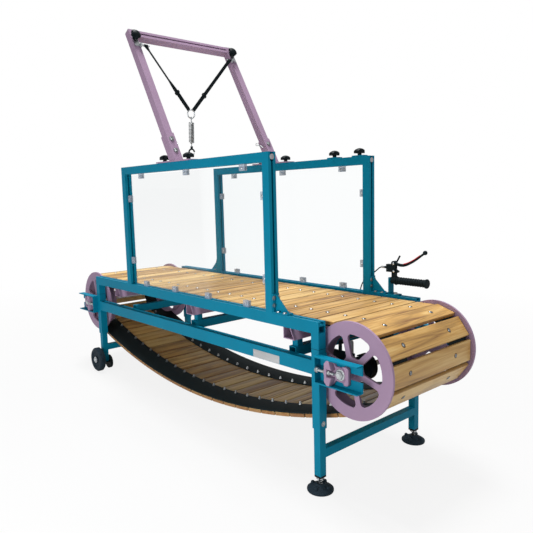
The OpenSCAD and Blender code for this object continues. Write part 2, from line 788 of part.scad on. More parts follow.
// Slats: wooden boards across the loop, square to it, lying on the belts
module slat(i) {
  p = on_loop(slat_s(i));
  c = shifted(p, (belt_t + slat_t) / 2);
  translate([c[0], 0, drum_z + c[1]]) rotate([0, p[2], 0]) cube([slat_w, slat_len, slat_t], center = true);
}
deck_slats = [for (i = [0:slat_n - 1]) if (slat_s(i) < drum_span) i];
front_slats = [for (i = [0:slat_n - 1])
  if (slat_s(i) >= drum_span && slat_s(i) < drum_span + wrap_len) i];
slack_slats = [for (i = [0:slat_n - 1])
  if (slat_s(i) >= drum_span + wrap_len && slat_s(i) < loop_len - wrap_len) i];
rear_slats = [for (i = [0:slat_n - 1]) if (slat_s(i) >= loop_len - wrap_len) i];
module slats_deck() color(wood) deck() for (i = deck_slats) slat(i);
module slats_front() color(wood) deck() for (i = front_slats) slat(i);
module slats_slack() color(wood) deck() for (i = slack_slats) slat(i);
module slats_rear() color(wood) deck() for (i = rear_slats) slat(i);
module belts() color(black) deck() both_sides()
  translate([0, belt_out, drum_z]) rotate([90, 0, 0]) linear_extrude(belt_w) difference() {
    polygon(loop_line(belt_t / 2));
    polygon(loop_line(-belt_t / 2));
  }

// Drum discs: round plates with spoke windows, a collar, and the ring that the belt runs on
module window() {
  half = spoke_w / 2 + window_r;
  out_r = window_out - window_r;
  in_r = window_in + window_r;
  out_a = asin(half / out_r);
  in_a = asin(half / in_r);
  turn = 360 / spokes;
  c1 = out_r * [cos(out_a), sin(out_a)];
  c2 = out_r * [cos(turn - out_a), sin(turn - out_a)];
  c3 = in_r * [cos(turn - in_a), sin(turn - in_a)];
  c4 = in_r * [cos(in_a), sin(in_a)];
  polygon(concat(
    arc_pts(c1, window_r, -90, out_a, 6),
    arc_pts([0, 0], window_out, out_a, turn - out_a, 8),
    arc_pts(c2, window_r, turn - out_a, turn + 90, 6),
    arc_pts(c3, window_r, turn + 90, turn + 180 - in_a, 5),
    arc_pts(c4, window_r, 180 + in_a, 270, 5)
  ));
}
disc_turn = 16;
module disc() translate([0, disc_in, 0]) rotate([-90, 0, 0]) {
  difference() {
    union() {
      cylinder(d = disc_d, h = disc_t, $fn = 96);
      cylinder(d = collar_d, h = disc_t + collar_t);
      translate([0, 0, -ring_w]) cylinder(r = ring_r, h = ring_w, $fn = 96);
    }
    translate([0, 0, -ring_w - cut]) cylinder(r = ring_r - ring_t, h = ring_w + cut, $fn = 96);
    translate([0, 0, -cut]) linear_extrude(disc_t + 2 * cut)
      for (i = [0:spokes - 1]) rotate(disc_turn + i * 360 / spokes) window();
    translate([0, 0, -cut]) cylinder(d = axle_d, h = disc_t + collar_t + 2 * cut);
  }
}
module drum_discs(x) deck() both_sides() translate([x, 0, drum_z]) disc();
module drum_axle(x) deck() translate([x, 0, drum_z]) rod_y(axle_d, -axle_end, axle_end);
module front_discs() color(lilac) drum_discs(drum_x);
module rear_discs() color(lilac) drum_discs(-drum_x);
module front_axle() color(zinc) drum_axle(drum_x);
module rear_axle() color(zinc) drum_axle(-drum_x);

// Leg frames: two tubes that slide in the sleeves, joined by a bar, with capped ends
module leg_frame(x, bot, top, bore_up) difference() {
  union() {
    both_sides() translate([x, rail_y, bot]) linear_extrude(top - bot) difference() {
      square(leg_side, center = true);
      square(leg_side - 2 * leg_wall, center = true);
    }
    span([x - leg_side / 2, x + leg_side / 2], [leg_side / 2 - rail_y, rail_y - leg_side / 2],
      [bot + leg_bar_up, bot + leg_bar_up + leg_bar_h]);
  }
  if (bore_up > 0) both_sides() translate([x, 0, bot + bore_up])
    rod_y(wheel_axle_d, rail_in, rail_out);
}
module front_leg_frame() color(teal) deck()
  leg_frame(leg_x, front_leg_bot, front_sleeve_bot + leg_insert, 0);
module rear_leg_frame() color(teal) deck()
  leg_frame(-leg_x, rear_leg_bot, rear_sleeve_bot + leg_insert, wheel_axle_up);
module leg_cap(x, bot) translate([x, rail_y, bot - cap_h])
  linear_extrude(cap_h) square(leg_side, center = true);
module leg_caps_front() color(black) deck() both_sides() {
  leg_cap(leg_x, front_leg_bot);
  translate([leg_x, rail_y, swivel_z]) {
    cylinder(d = stem_d, h = front_leg_bot + stem_head - swivel_z);
    sphere(d = swivel_d);
    translate([0, 0, foot_h]) cylinder(d = 2 * stem_d, h = foot_nut_h, $fn = 6);
  }
}
module leg_caps_rear() color(black) deck() both_sides() {
  leg_cap(-leg_x, rear_leg_bot);
  translate([-leg_x, rail_y - leg_side / 2 - bumper_t, wheel_z - bumper_drop]) rod_y(bumper_d, 0, bumper_t);
}

// Levelling foot: a level round pad with a socket for the screw's ball
foot_lip = 8;
foot_top_share = 0.45;
foot_neck_share = 0.25;
mouth_gap = 2;
module foot() rotate([0, tilt, 0]) translate([0, 0, -swivel_up]) difference() {
  rotate_extrude() polygon([
    [0, 0], [foot_d / 2, 0], [foot_d / 2, foot_lip], [foot_d * foot_top_share, foot_h * foot_top_share],
    [foot_d * foot_neck_share, foot_h], [0, foot_h]
  ]);
  translate([0, 0, swivel_up]) sphere(d = swivel_d + 2 * screw_slip);
  translate([0, 0, swivel_up]) cylinder(d = stem_d + 2 * mouth_gap, h = foot_h);
}
module foot_near() color(black) deck() translate([leg_x, -rail_y, swivel_z]) foot();
module foot_far() color(black) deck() translate([leg_x, rail_y, swivel_z]) foot();

// Wheel: a tyre with round shoulders and a dished face round its hub
shoulder = 7;
hub_share = 0.62;
module wheel() rotate([-90, 0, 0]) rotate_extrude($fn = 72) polygon([
  [wheel_axle_d / 2 + screw_slip, -wheel_w / 2], [wheel_hub_d / 2, -wheel_w / 2],
  [wheel_hub_d / 2, wheel_face_dish - wheel_w / 2],
  [hub_share * wheel_d / 2, wheel_face_dish - wheel_w / 2], [hub_share * wheel_d / 2 + shoulder, -wheel_w / 2],
  [wheel_d / 2 - shoulder, -wheel_w / 2], [wheel_d / 2, shoulder - wheel_w / 2],
  [wheel_d / 2, wheel_w / 2 - shoulder], [wheel_d / 2 - shoulder, wheel_w / 2],
  [hub_share * wheel_d / 2 + shoulder, wheel_w / 2], [hub_share * wheel_d / 2, wheel_w / 2 - wheel_face_dish],
  [wheel_hub_d / 2, wheel_w / 2 - wheel_face_dish],
  [wheel_hub_d / 2, wheel_w / 2], [wheel_axle_d / 2 + screw_slip, wheel_w / 2]
]);
module wheel_near() color(black) deck() translate([-leg_x, -wheel_y, wheel_z]) wheel();
module wheel_far() color(black) deck() translate([-leg_x, wheel_y, wheel_z]) wheel();
module wheel_axles() color(zinc) deck() both_sides() translate([-leg_x, 0, wheel_z]) {
  rod_y(wheel_axle_d, rail_y - leg_side / 2, wheel_y + wheel_w / 2 + slip + axle_head_h);
  rod_y(axle_head_d, wheel_y + wheel_w / 2 + slip, wheel_y + wheel_w / 2 + slip + axle_head_h);
  rod_y(axle_head_d, rail_y + leg_side / 2, wheel_y - wheel_w / 2 - slip);
}

// Mast: leaning uprights in sockets on base plates that slide along the beams
module leaning() translate([mast_x, 0, base_z]) rotate([0, -mast_lean, 0]) children();
module mast_bases() color(lilac) deck() both_sides() difference() {
  union() {
    translate([mast_x, rail_y, base_z - base_t])
      span([-base_len / 2, base_len / 2], [-base_w / 2, base_w / 2], [0, base_t]);
    difference() {
      leaning() translate([0, rail_y, -socket_side]) linear_extrude(socket_side + socket_len) difference() {
        square(socket_side, center = true);
        square(prof, center = true);
      }
      translate([mast_x - base_len, 0, base_z - base_len]) cube([2 * base_len, frame_w, base_len]);
    }
    for (s = socket_bolt_shares) leaning() translate([socket_side / 2, rail_y, s * socket_len])
      rod_x(socket_bolt_d * 2, 0, socket_bolt_h);
  }
  for (x = [-base_knob_x, base_knob_x]) translate([mast_x + x, rail_y, base_z - base_t - cut])
    cylinder(d = knob_screw_d + 2 * screw_slip, h = base_t + 2 * cut);
}
module mast_uprights() color(lilac) deck() leaning() both_sides() translate([0, rail_y, 0]) difference() {
  translate([0, 0, socket_start]) linear_extrude(upright_len - socket_start) square(prof, center = true);
  translate([0, 0, socket_start - cut]) linear_extrude(upright_len - socket_start - upright_wall + cut)
    square(prof - 2 * upright_wall, center = true);
  translate([0, 0, eye_knob_along]) rod_x(knob_screw_d + 2 * screw_slip, 0, prof);
}
module mast_crossbar() color(lilac) deck() leaning()
  translate([0, -rail_in, upright_len - prof / 2]) rotate([-90, 0, 0]) rotate(90)
    linear_extrude(2 * rail_in) profile();

// Star knob: a lobed and domed head on a neck, with its screw below
module star_knob(screw) {
  intersection() {
    translate([0, 0, knob_neck_h]) linear_extrude(knob_h - knob_neck_h) {
      circle(d = knob_d * knob_core_share);
      for (i = [0:knob_lobes - 1]) rotate(i * 360 / knob_lobes)
        translate([knob_d / 2 * (1 - knob_lobe_share), 0]) circle(d = knob_d * knob_lobe_share);
    }
    translate([0, 0, knob_h - knob_dome_r]) sphere(r = knob_dome_r);
  }
  cylinder(d = knob_neck_d, h = knob_neck_h);
  translate([0, 0, -screw]) cylinder(d = knob_screw_d, h = screw);
}
module base_knob(x, side) color(black) deck()
  translate([mast_x + x, side * rail_y, base_z + slip]) star_knob(base_screw);
module mast_knob_near_rear() base_knob(-base_knob_x, -1);
module mast_knob_near_front() base_knob(base_knob_x, -1);
module mast_knob_far_rear() base_knob(-base_knob_x, 1);
module mast_knob_far_front() base_knob(base_knob_x, 1);
module clamp_knob(x) color(black) deck()
  translate([x, rail_y, beam_top + bracket_t + slip]) star_knob(bracket_t + slot_lip + slot_in_d / 2);
module clamp_knob_rear() clamp_knob(clamp_xs[0]);
module clamp_knob_front() clamp_knob(clamp_xs[1]);
module eye_knob(side) color(black) deck() leaning()
  translate([prof / 2 + eye_plate_t + slip, side * rail_y, eye_knob_along]) rotate([0, 90, 0])
    star_knob(eye_plate_t + slot_lip + slot_in_d / 2);
module eye_knob_near() eye_knob(-1);
module eye_knob_far() eye_knob(1);

// Strap eyes: plates under the knobs, each reaching down to a pin for the strap's loop
module strap_eyes() color(zinc) deck() leaning() both_sides() translate([prof / 2, 0, 0]) difference() {
  union() {
    translate([0, rail_y, eye_knob_along]) rod_x(eye_plate_w, 0, eye_plate_t);
    span([0, eye_plate_t], [rail_y - eye_plate_w / 2, rail_y + eye_plate_w / 2], [eye_along, eye_knob_along]);
    span([0, eye_plate_t + eye_pin_out + eye_pin_d], [rail_in, rail_in + eye_lug_t],
      [eye_along - eye_pin_d, eye_along + eye_pin_d]);
    translate([eye_plate_t + eye_pin_out, 0, eye_along])
      rod_y(eye_pin_d, eye_y - strap_w, rail_in + eye_lug_t / 2);
  }
  translate([-cut, rail_y, eye_knob_along])
    rod_x(knob_screw_d + 2 * screw_slip, 0, eye_plate_t + 2 * cut);
}

// Tether: two straps from the uprights to a ring, with a spring and a snap hook below it.
// It hangs plumb, so it is turned back by the deck's slope.
module plumb() translate([eye_x, 0, eye_z]) rotate([0, tilt, 0]) translate([0, 0, -eye_z]) children();
strap_top = [eye_y, eye_z];
strap_low = [ring_d / 4, ring_z + ring_d / 2 * strap_seat_share];
strap_run = strap_low - strap_top;
module strap_piece(from, to, w, t) {
  a = strap_top + from * strap_run;
  translate([0, a[0], a[1]]) rotate([atan2(strap_run[1], strap_run[0]), 0, 0])
    span([-t / 2, t / 2], [0, (to - from) * norm(strap_run)], [-w / 2, w / 2]);
}
module tether_straps() color(black) deck() plumb() both_sides() difference() {
  union() {
    strap_piece(0, 1, strap_w, strap_t);
    strap_piece(buckle_share, buckle_share + buckle_l / norm(strap_run), buckle_w, buckle_t);
    translate([0, 0, eye_z]) rod_y(eye_loop_d, eye_y - strap_w / 2, eye_y + strap_w / 2);
  }
  translate([0, 0, eye_z]) rod_y(eye_pin_d + 2 * screw_slip, eye_y - 2 * strap_w, eye_y + 2 * strap_w);
  translate([0, 0, ring_z]) ring_torus(ring_wire);
}
module ring_torus(wire) rotate([0, 90, 0])
  rotate_extrude() translate([(ring_d - ring_wire) / 2, 0]) circle(d = wire, $fn = 24);
module tether_ring() color(zinc) deck() plumb() translate([0, 0, ring_z]) ring_torus(ring_wire);
module tether_spring() color(zinc) deck() plumb()
  translate([0, 0, spring_top - spring_tail]) tube(helix_route(), spring_wire, spring_sides);

// Snap hook: a round hook under a swivel, closed on one side by a straight gate
hook_r = (hook_d - hook_t) / 2;
hook_z = hook_top - hook_swivel_h - hook_r;
gate_off = gate_d / 2 + slip;
gate_from = hook_r * [cos(hook_open[0]), sin(hook_open[0])] + gate_off * [-sin(hook_open[0]), cos(hook_open[0])];
gate_to = hook_r * [cos(hook_open[1]), sin(hook_open[1])];
gate_len = norm(gate_to - gate_from) - hook_t / 2;
gate_turn = atan2(gate_to[1] - gate_from[1], gate_to[0] - gate_from[0]);
gate_rod_share = 0.84;
module snap_hook() color(black) deck() plumb() {
  translate([0, 0, hook_z + hook_r - hook_t / 4]) cylinder(d = hook_swivel_d, h = hook_swivel_h + hook_t / 4);
  translate([0, 0, hook_z]) rotate([90, 0, 90]) rotate(hook_open[1])
    rotate_extrude(angle = 360 - hook_open[1] + hook_open[0]) translate([hook_r, 0]) circle(d = hook_t, $fn = 24);
}
module hook_gate() color(zinc) deck() plumb() translate([0, 0, hook_z]) rotate([90, 0, 90])
  translate(gate_from) rotate(gate_turn) {
    sphere(d = gate_d);
    rod_x(gate_d * gate_rod_share, 0, gate_len);
  }

// Brake handle: a bracket on the far rail, a bar with its grip, and the lever's body
module handle_bracket() color(teal) deck() translate([0, rail_y, 0]) {
  span([handle_x, bar_x], [-handle_w / 2, handle_w / 2], [rail_top, handle_top]);
  span([bar_x, bar_x + handle_foot], [-handle_w / 2, handle_w / 2], [rail_top, rail_top + handle_t]);
  translate([bar_x + handle_foot / 2, 0, rail_top + handle_t]) cylinder(d = foot_bolt_d, h = foot_bolt_h);
  translate([0, 0, bar_z]) rod_x(bar_d, bar_x, bar_x + bar_len);
}
module grip() color(black) deck() translate([grip_x, rail_y, bar_z]) rotate([0, 90, 0]) rotate_extrude() {
  run = grip_end - grip_x;
  end = bar_x + bar_len - grip_x;
  polygon([
    [bar_d / 2, 0], [grip_flange_d / 2, 0], [grip_flange_d / 2, handle_t / 2], [grip_d / 2, handle_t],
    [grip_d / 2, run - 2 * handle_t], [grip_flange_d / 2, run - handle_t], [grip_flange_d / 2, run - handle_t / 2],
    [grip_flange_d / 2 - handle_t / 2, run], [0, run], [0, end], [bar_d / 2, end]
  ]);
}
module lever_body() color(black) deck() translate([0, rail_y, 0]) {
  difference() {
    union() {
      translate([clamp_x, 0, bar_z]) rod_x(clamp_d, 0, clamp_w);
      span([pivot_x - neck_w / 2, pivot_x + neck_w / 2], [-body_t / 2, body_t / 2], [bar_z, pivot_z]);
      translate([pivot_x, 0, pivot_z]) rod_y(2 * boss_r, -body_t / 2, body_t / 2);
      span([pivot_x - boss_r - tank_len, pivot_x], [-body_t / 2, body_t / 2],
        [pivot_z - cable_boss_drop - tank_h, pivot_z - cable_boss_drop / 2]);
    }
    translate([clamp_x, 0, bar_z]) rod_x(bar_d, -cut, clamp_w + cut);
    translate([pivot_x, 0, pivot_z])
      rod_y(2 * boss_r + 2 * cheek_gap, -lever_t / 2 - cheek_gap, lever_t / 2 + cheek_gap);
    span([pivot_x, pivot_x + 2 * boss_r], [-lever_t / 2 - cheek_gap, lever_t / 2 + cheek_gap],
      [pivot_z - 2 * boss_r, pivot_z + boss_r]);
  }
  translate([pivot_x, 0, pivot_z]) rod_y(pivot_d, -body_t / 2, body_t / 2);
  translate([pivot_x - boss_r - tank_len, 0, pivot_z - cable_boss_drop - cable_boss_d])
    rod_x(cable_boss_d, -cable_boss_d, 0);
  translate([pivot_x - boss_r / 2, 0, pivot_z - boss_r])
    rod_y(lock_pin_d, body_t / 2, body_t / 2 + cheek_gap + lock_t);
}
module lever_blade() color(black) deck() translate([pivot_x, rail_y, pivot_z]) {
  pts = [for (s = blade_shares) lever_len * s];
  up = [for (i = [0:len(pts) - 1]) pts[i] + blade_w / 2 * [0, 1]];
  down = [for (i = [len(pts) - 1:-1:0]) pts[i] - blade_w / 2 * [0, 1]];
  difference() {
    union() {
      translate([0, lever_t / 2, 0]) rotate([90, 0, 0]) linear_extrude(lever_t) polygon(concat(up, down));
      rod_y(2 * boss_r - 2 * cheek_gap, -lever_t / 2, lever_t / 2);
      translate([pts[3][0], 0, pts[3][1]]) sphere(d = ball_d);
    }
    rod_y(pivot_d + 2 * screw_slip, -lever_t, lever_t);
  }
}
module lock_lever() color(black) deck()
  translate([pivot_x - boss_r / 2, rail_y + body_t / 2 + cheek_gap, pivot_z - boss_r]) difference() {
    union() {
      rod_y(2 * lock_w, 0, lock_t);
      rotate([0, -lock_angle, 0]) span([0, lock_len + boss_r], [0, lock_t], [-lock_w / 2, lock_w / 2]);
    }
    rod_y(lock_pin_d + 2 * screw_slip, -cut, lock_t + cut);
  }

// Band brake on the front axle, held by a plate on the front cross tube
module brake_drum() color(black) deck() translate([drum_x, brake_y, drum_z]) difference() {
  rod_y(brake_d, -brake_w / 2, brake_w / 2);
  rod_y(axle_d, -brake_w, brake_w);
}
module brake_caliper() color(black) deck() {
  translate([drum_x, brake_y, drum_z]) difference() {
    rod_y(2 * (band_r + band_t), -brake_w / 2, brake_w / 2);
    rod_y(2 * band_r, -brake_w, brake_w);
    rotate([0, 180 + band_open, 0])
      span([0, brake_d], [-brake_w, brake_w], [-band_mouth / 2, band_mouth / 2]);
  }
  translate([0, brake_y - plate_t / 2, 0]) {
    span([front_tube_x + prof / 2, drum_x - band_r - band_t / 2], [0, plate_t],
      [cross_top - plate_h, cross_top]);
    span([arm_x - stop_back - stop_side, arm_x - stop_back], [0, plate_t], [cross_top, arm_z + arm_len]);
    difference() {
      span([arm_x - stop_back - stop_side, arm_x - stop_back], [0, plate_t + stop_side],
        [arm_z + arm_len - stop_side, arm_z + arm_len]);
      translate([0, plate_t + stop_side / 2, arm_z + arm_len - stop_side / 2])
        rod_x(cable_d, arm_x - 2 * stop_back, arm_x);
    }
  }
  translate([arm_x, brake_y, arm_z]) rod_y(arm_pin_d, 0, plate_t / 2 + slip + arm_t);
}
module brake_arm() color(zinc) deck() translate([arm_x, arm_y, arm_z]) difference() {
  union() {
    rod_y(2 * arm_pin_d, 0, arm_t);
    span([-arm_w / 2, arm_w / 2], [0, arm_t], [0, arm_len]);
    translate([0, 0, arm_len]) rod_y(arm_w, 0, arm_t);
  }
  rod_y(arm_pin_d + 2 * screw_slip, -cut, arm_t + cut);
}
module brake_cable() color(black) deck() tube(cable_route, cable_d, cable_sides);

deck_rails();
corner_posts();
base_sleeves();
mid_rails();
cross_tubes();
cross_channels();
belt_slides();
takeup_brackets();
bearing_blocks();
tension_bolts();
side_posts();
top_beams();
side_panels();
panel_clips();
corner_brackets();
clamp_plates();
slats_deck();
slats_front();
slats_rear();
slats_slack();
belts();
front_discs();
front_axle();
rear_discs();
rear_axle();
front_leg_frame();
rear_leg_frame();
leg_caps_front();
leg_caps_rear();
foot_near();
foot_far();
wheel_near();
wheel_far();
wheel_axles();
mast_bases();
mast_uprights();
mast_crossbar();
mast_knob_near_rear();
mast_knob_near_front();
mast_knob_far_rear();
mast_knob_far_front();
eye_knob_near();
eye_knob_far();
clamp_knob_rear();
clamp_knob_front();
strap_eyes();
tether_straps();
tether_ring();
tether_spring();
snap_hook();
hook_gate();
handle_bracket();
grip();
lever_body();
lever_blade();
lock_lever();
brake_drum();
brake_caliper();
brake_arm();
brake_cable();
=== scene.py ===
"""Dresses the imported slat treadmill: boards, belts, webbing, fasteners, finishes and the studio.

Pieces are worked out in the deck's own frame, in millimetres, square to the deck. deck() then
tilts and lifts them into the floor's frame, in metres, where the solid parts already are.
"""

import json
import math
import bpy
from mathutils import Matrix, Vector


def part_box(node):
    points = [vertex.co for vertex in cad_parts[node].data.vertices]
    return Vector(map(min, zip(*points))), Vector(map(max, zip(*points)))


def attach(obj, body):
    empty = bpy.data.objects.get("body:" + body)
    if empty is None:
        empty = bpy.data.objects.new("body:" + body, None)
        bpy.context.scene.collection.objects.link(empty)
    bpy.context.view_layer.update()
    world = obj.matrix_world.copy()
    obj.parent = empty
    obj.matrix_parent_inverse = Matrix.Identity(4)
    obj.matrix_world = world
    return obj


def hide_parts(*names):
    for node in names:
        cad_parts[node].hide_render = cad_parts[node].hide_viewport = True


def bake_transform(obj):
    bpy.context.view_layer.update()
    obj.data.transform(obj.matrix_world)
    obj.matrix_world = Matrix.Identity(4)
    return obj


bl_info = {
    "name": "Slat Mill Dressing",
    "version": (1, 0, 0),
    "blender": (4, 5, 0),
    "location": "3D View > Sidebar > Slat Mill",
    "description": "Adds boards, belts, webbing, fasteners and finishes to the treadmill's solid parts",
    "category": "Object",
}

import bmesh
import bpy
import numpy as np
from bpy.props import FloatProperty, FloatVectorProperty, IntProperty, PointerProperty
from mathutils import Matrix, Vector

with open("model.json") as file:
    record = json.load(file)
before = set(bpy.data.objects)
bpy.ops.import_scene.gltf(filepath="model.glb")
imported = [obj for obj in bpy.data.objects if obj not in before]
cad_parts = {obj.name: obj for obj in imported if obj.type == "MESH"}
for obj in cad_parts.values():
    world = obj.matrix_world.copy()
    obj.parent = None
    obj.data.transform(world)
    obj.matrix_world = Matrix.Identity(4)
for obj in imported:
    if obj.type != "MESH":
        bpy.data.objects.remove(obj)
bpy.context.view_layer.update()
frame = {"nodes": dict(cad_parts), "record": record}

# The deck's slope and its place in the floor's frame
SLOPE = math.radians(2.6)
LIFT = 39.99368
SET_BACK = 19.50608

# Lines of the frame, in the deck's frame
RAIL_Y, RAIL_OUT, RAIL_TOP, SEAM_Z = 322, 342, 608, 499
SIDE_REAR, SIDE_FRONT, BEAM_TOP, PROFILE = -543.5, 703.5, 1268, 40
LEG_X, FRONT_SLEEVE_BOT, REAR_SLEEVE_BOT = 946, 176, 243
WHEEL_Z, WHEEL_FACE, STEM_BOT, LOCK_NUT_Z = 78, 387.3, -54, -34.8

# Bearings: the drum's axle, the block's recess and the tension rod beside it
DRUM_X, DRUM_Z, RECESS_Y, ROD_Y = 1081.5, 430, 350, 362
END_PLATE, BLOCK_HALF, BLOCK_WALL, ROD_END = 971, 62, 12, 1061
BLOCK_BACK, FORK_FACE, WING_FACE, HUB_FACE = 340, 374, 356, 353

# The bare plate on the near middle rail: its middle, its size and its rivets
TAG_X, TAG_Z, TAG_LEN, TAG_HIGH, RIVETS_X = 658.5, 414, 167, 34, (582, 735)

# Mast, leaning back from its base plates
MAST_LEAN = math.radians(29.5)
MAST_BASE_Z, SOCKET_HALF, SOCKET_LEN, UPRIGHT_LEN, PIN_UP, PIN_BACK = 1274.3, 24, 150, 800, 112, 4
HAIRPIN = (
    (15, -20), (4, -2), (-9, 18), (-17, 31), (-27, 36), (-31, 26),
    (-22, 20), (-9, 13), (-7, 2), (3, -9), (13, -13),
)

# The loop that the belts follow
BELT_R, BELT_T, BELT_OUT, BOARD_N, SLACK = 153.5, 5, 275, 56, math.radians(20)
SLACK_X = DRUM_X + BELT_R * math.sin(SLACK)
SLACK_K = math.tan(SLACK) / SLACK_X
SLACK_LOW = -BELT_R * math.cos(SLACK) - SLACK_K * SLACK_X**2 / 2

# The tether hangs plumb under the strap eyes, so it is set out in the floor's frame
EYE = np.array([-0.37701, 0.0, 1.91503])
RING_Z = EYE[2] - 0.330
RING_WIRE_Z = RING_Z - 0.0235
STRAP_TOP_Y, STRAP_LOW_Y, STRAP_LOW_Z = 0.280, 0.0135, RING_Z + 0.0194
SLIDER_WIRE, SLIDER_AT, PLY_GAP = 0.0024, 0.71, 0.0024
SPRING_TOP = RING_Z - 0.0273
SPRING_LEN, SPRING_TAIL, SPRING_R = 0.122, 0.015, 0.0135
HOOK_TOP = SPRING_TOP - SPRING_LEN - 2 * SPRING_TAIL - 0.0003

# Brake handle, with the bends of its cable as the part has them
BAR_Z, GRIP_X, GRIP_END, PIVOT_X, PIVOT_Z, BODY_FACE, CLAMP_Z = 678, 845.3, 1016, 835, 758, 9.5, 722
BARREL_X, BARREL_Z, FOOT_BOLT_X = 781, 737, 842
LEVER_BENDS = ((0, 0), (49.8, -5.0), (102.9, 16.6), (166, 59.8))
CABLE_ROUTE = (
    (782, 322, 737), (768, 322, 737), (748, 326, 732), (722, 340, 718), (695, 351, 702), (655, 353, 676),
    (622, 353, 644), (606, 353, 604), (606, 353, 562), (622.5, 350, 525), (655.5, 332, 500), (700.5, 295, 491),
    (752.5, 238, 489), (815.5, 165, 487), (860.5, 80, 486), (895.5, -10, 488), (920.5, -100, 495),
    (935.5, -160, 502), (947.5, -190, 505), (954.5, -201, 505), (960.5, -201, 505),
)

# Both sides or ends of the mill, its directions, and the angle up to which a surface is shaded smooth
SIDES = (-1, 1)
ALONG, ACROSS, UP = np.eye(3)
CREASE = math.radians(40)

# The boards' tones and grain: start of the random draws, and how far the grain shifts from board to board
SEED, GRAIN_SHIFT = 59, 9

# Camera, in the deck's frame: place, then yaw, pitch and roll in degrees, lens and sensor width
CAMERA_AT = np.array([2419.38, -1877.64, 1097.0])
CAMERA_TURN, CAMERA_LENS, CAMERA_SENSOR = (48.62, -7.27, -1.51), 38.16, 36.0

# Lamps in the floor's frame: name, place, width and power, and the point they are turned to
LAMPS = (
    ("key_lamp", (0.9, -2.8, 0.9), 1.2, 38.0),
    ("fill_lamp", (3.6, 0.2, 2.5), 1.2, 25.0),
    ("top_lamp", (-1.6, 0.3, 9.0), 2.6, 920.0),
)
LAMP_AIM = np.array([0.1, 0.0, 0.7])


def metres(name, text, value):
    """A length setting, in metres."""
    return FloatProperty(name=name, description=text, default=value, unit="LENGTH")


def colour(name, text, value):
    """A colour setting."""
    return FloatVectorProperty(name=name, description=text, subtype="COLOR", size=3, default=value)


class MillSizes(bpy.types.PropertyGroup):
    """Sizes of the dressing, in metres."""

    board_width: metres("Board width", "Width of a slat", 0.089)
    board_thick: metres("Board thickness", "Thickness of a slat", 0.016)
    board_length: metres("Board length", "Length of a slat", 0.55)
    board_round: metres("Board edge", "Radius of a slat's edges", 0.0025)
    bolt_side: metres("Bolt place", "Distance of the slat bolts from the middle", 0.157)
    bolt_head: metres("Bolt head", "Diameter of a slat bolt's head", 0.016)
    belt_width: metres("Belt width", "Width of a belt", 0.13)
    strap_width: metres("Strap width", "Width of the tether's webbing", 0.022)
    spring_wire: metres("Spring wire", "Thickness of the spring's wire", 0.0052)
    spring_turns: IntProperty(name="Spring turns", description="Turns of the tether's spring", default=16)
    rib_pitch: metres("Grip ribs", "Distance between the ribs of the grip", 0.0135)
    thread_pitch: metres("Thread pitch", "Pitch of the shown screw threads", 0.002)


class MillColours(bpy.types.PropertyGroup):
    """Colours of the finishes, as linear light."""

    teal: colour("Teal", "Powder coat of the frame", (0.0, 0.195, 0.315))
    lilac: colour("Lilac", "Powder coat of the drums and the mast", (0.365, 0.25, 0.365))
    wood_pale: colour("Pale wood", "Early wood of the slats", (0.73, 0.495, 0.19))
    wood_gold: colour("Golden wood", "Middle tone of the slats", (0.56, 0.313, 0.085))
    wood_deep: colour("Deep wood", "Late wood of the slats", (0.19, 0.075, 0.018))
    belt: colour("Belt", "Rubber of the belts", (0.013, 0.020, 0.022))
    zinc: colour("Zinc", "Plated fasteners", (0.60, 0.63, 0.65))
    black: colour("Black", "Black plastic and paint", (0.003, 0.007, 0.009))
    tyre: colour("Tyre", "Rubber of the wheels and feet", (0.009, 0.017, 0.025))
    clip: colour("Clip", "Translucent panel clips", (0.40, 0.46, 0.55))
    cap: colour("Cap", "Grey plugs in the tube ends", (0.36, 0.36, 0.38))
    red: colour("Red", "Stripe on the brake lever", (0.42, 0.012, 0.02))
    plate: colour("Plate", "Bare plate on the middle rail", (0.55, 0.56, 0.57))


def sizes():
    return bpy.context.scene.mill_sizes


def colours():
    return bpy.context.scene.mill_colours


def maths(operation, swapped=False):
    """A method that adds a Math node for a value and another one."""

    def method(self, other=0.0):
        return self.node(operation, *((other, self) if swapped else (self, other)))

    return method


class Val:
    """A number in a shader. Arithmetic on it adds Math nodes."""

    def __init__(self, shade, socket):
        self.shade, self.socket = shade, socket

    def node(self, operation, a, b, clamp=False):
        return self.shade.val("ShaderNodeMath", {"operation": operation, "use_clamp": clamp}, {0: a, 1: b})

    __add__, __radd__ = maths("ADD"), maths("ADD", True)
    __sub__, __rsub__ = maths("SUBTRACT"), maths("SUBTRACT", True)
    __mul__, __rmul__ = maths("MULTIPLY"), maths("MULTIPLY", True)
    sine, size, larger = maths("SINE"), maths("ABSOLUTE"), maths("MAXIMUM")

    def clamped(self, gain):
        """The value times a gain, kept between 0 and 1."""
        return self.node("MULTIPLY", self, gain, True)


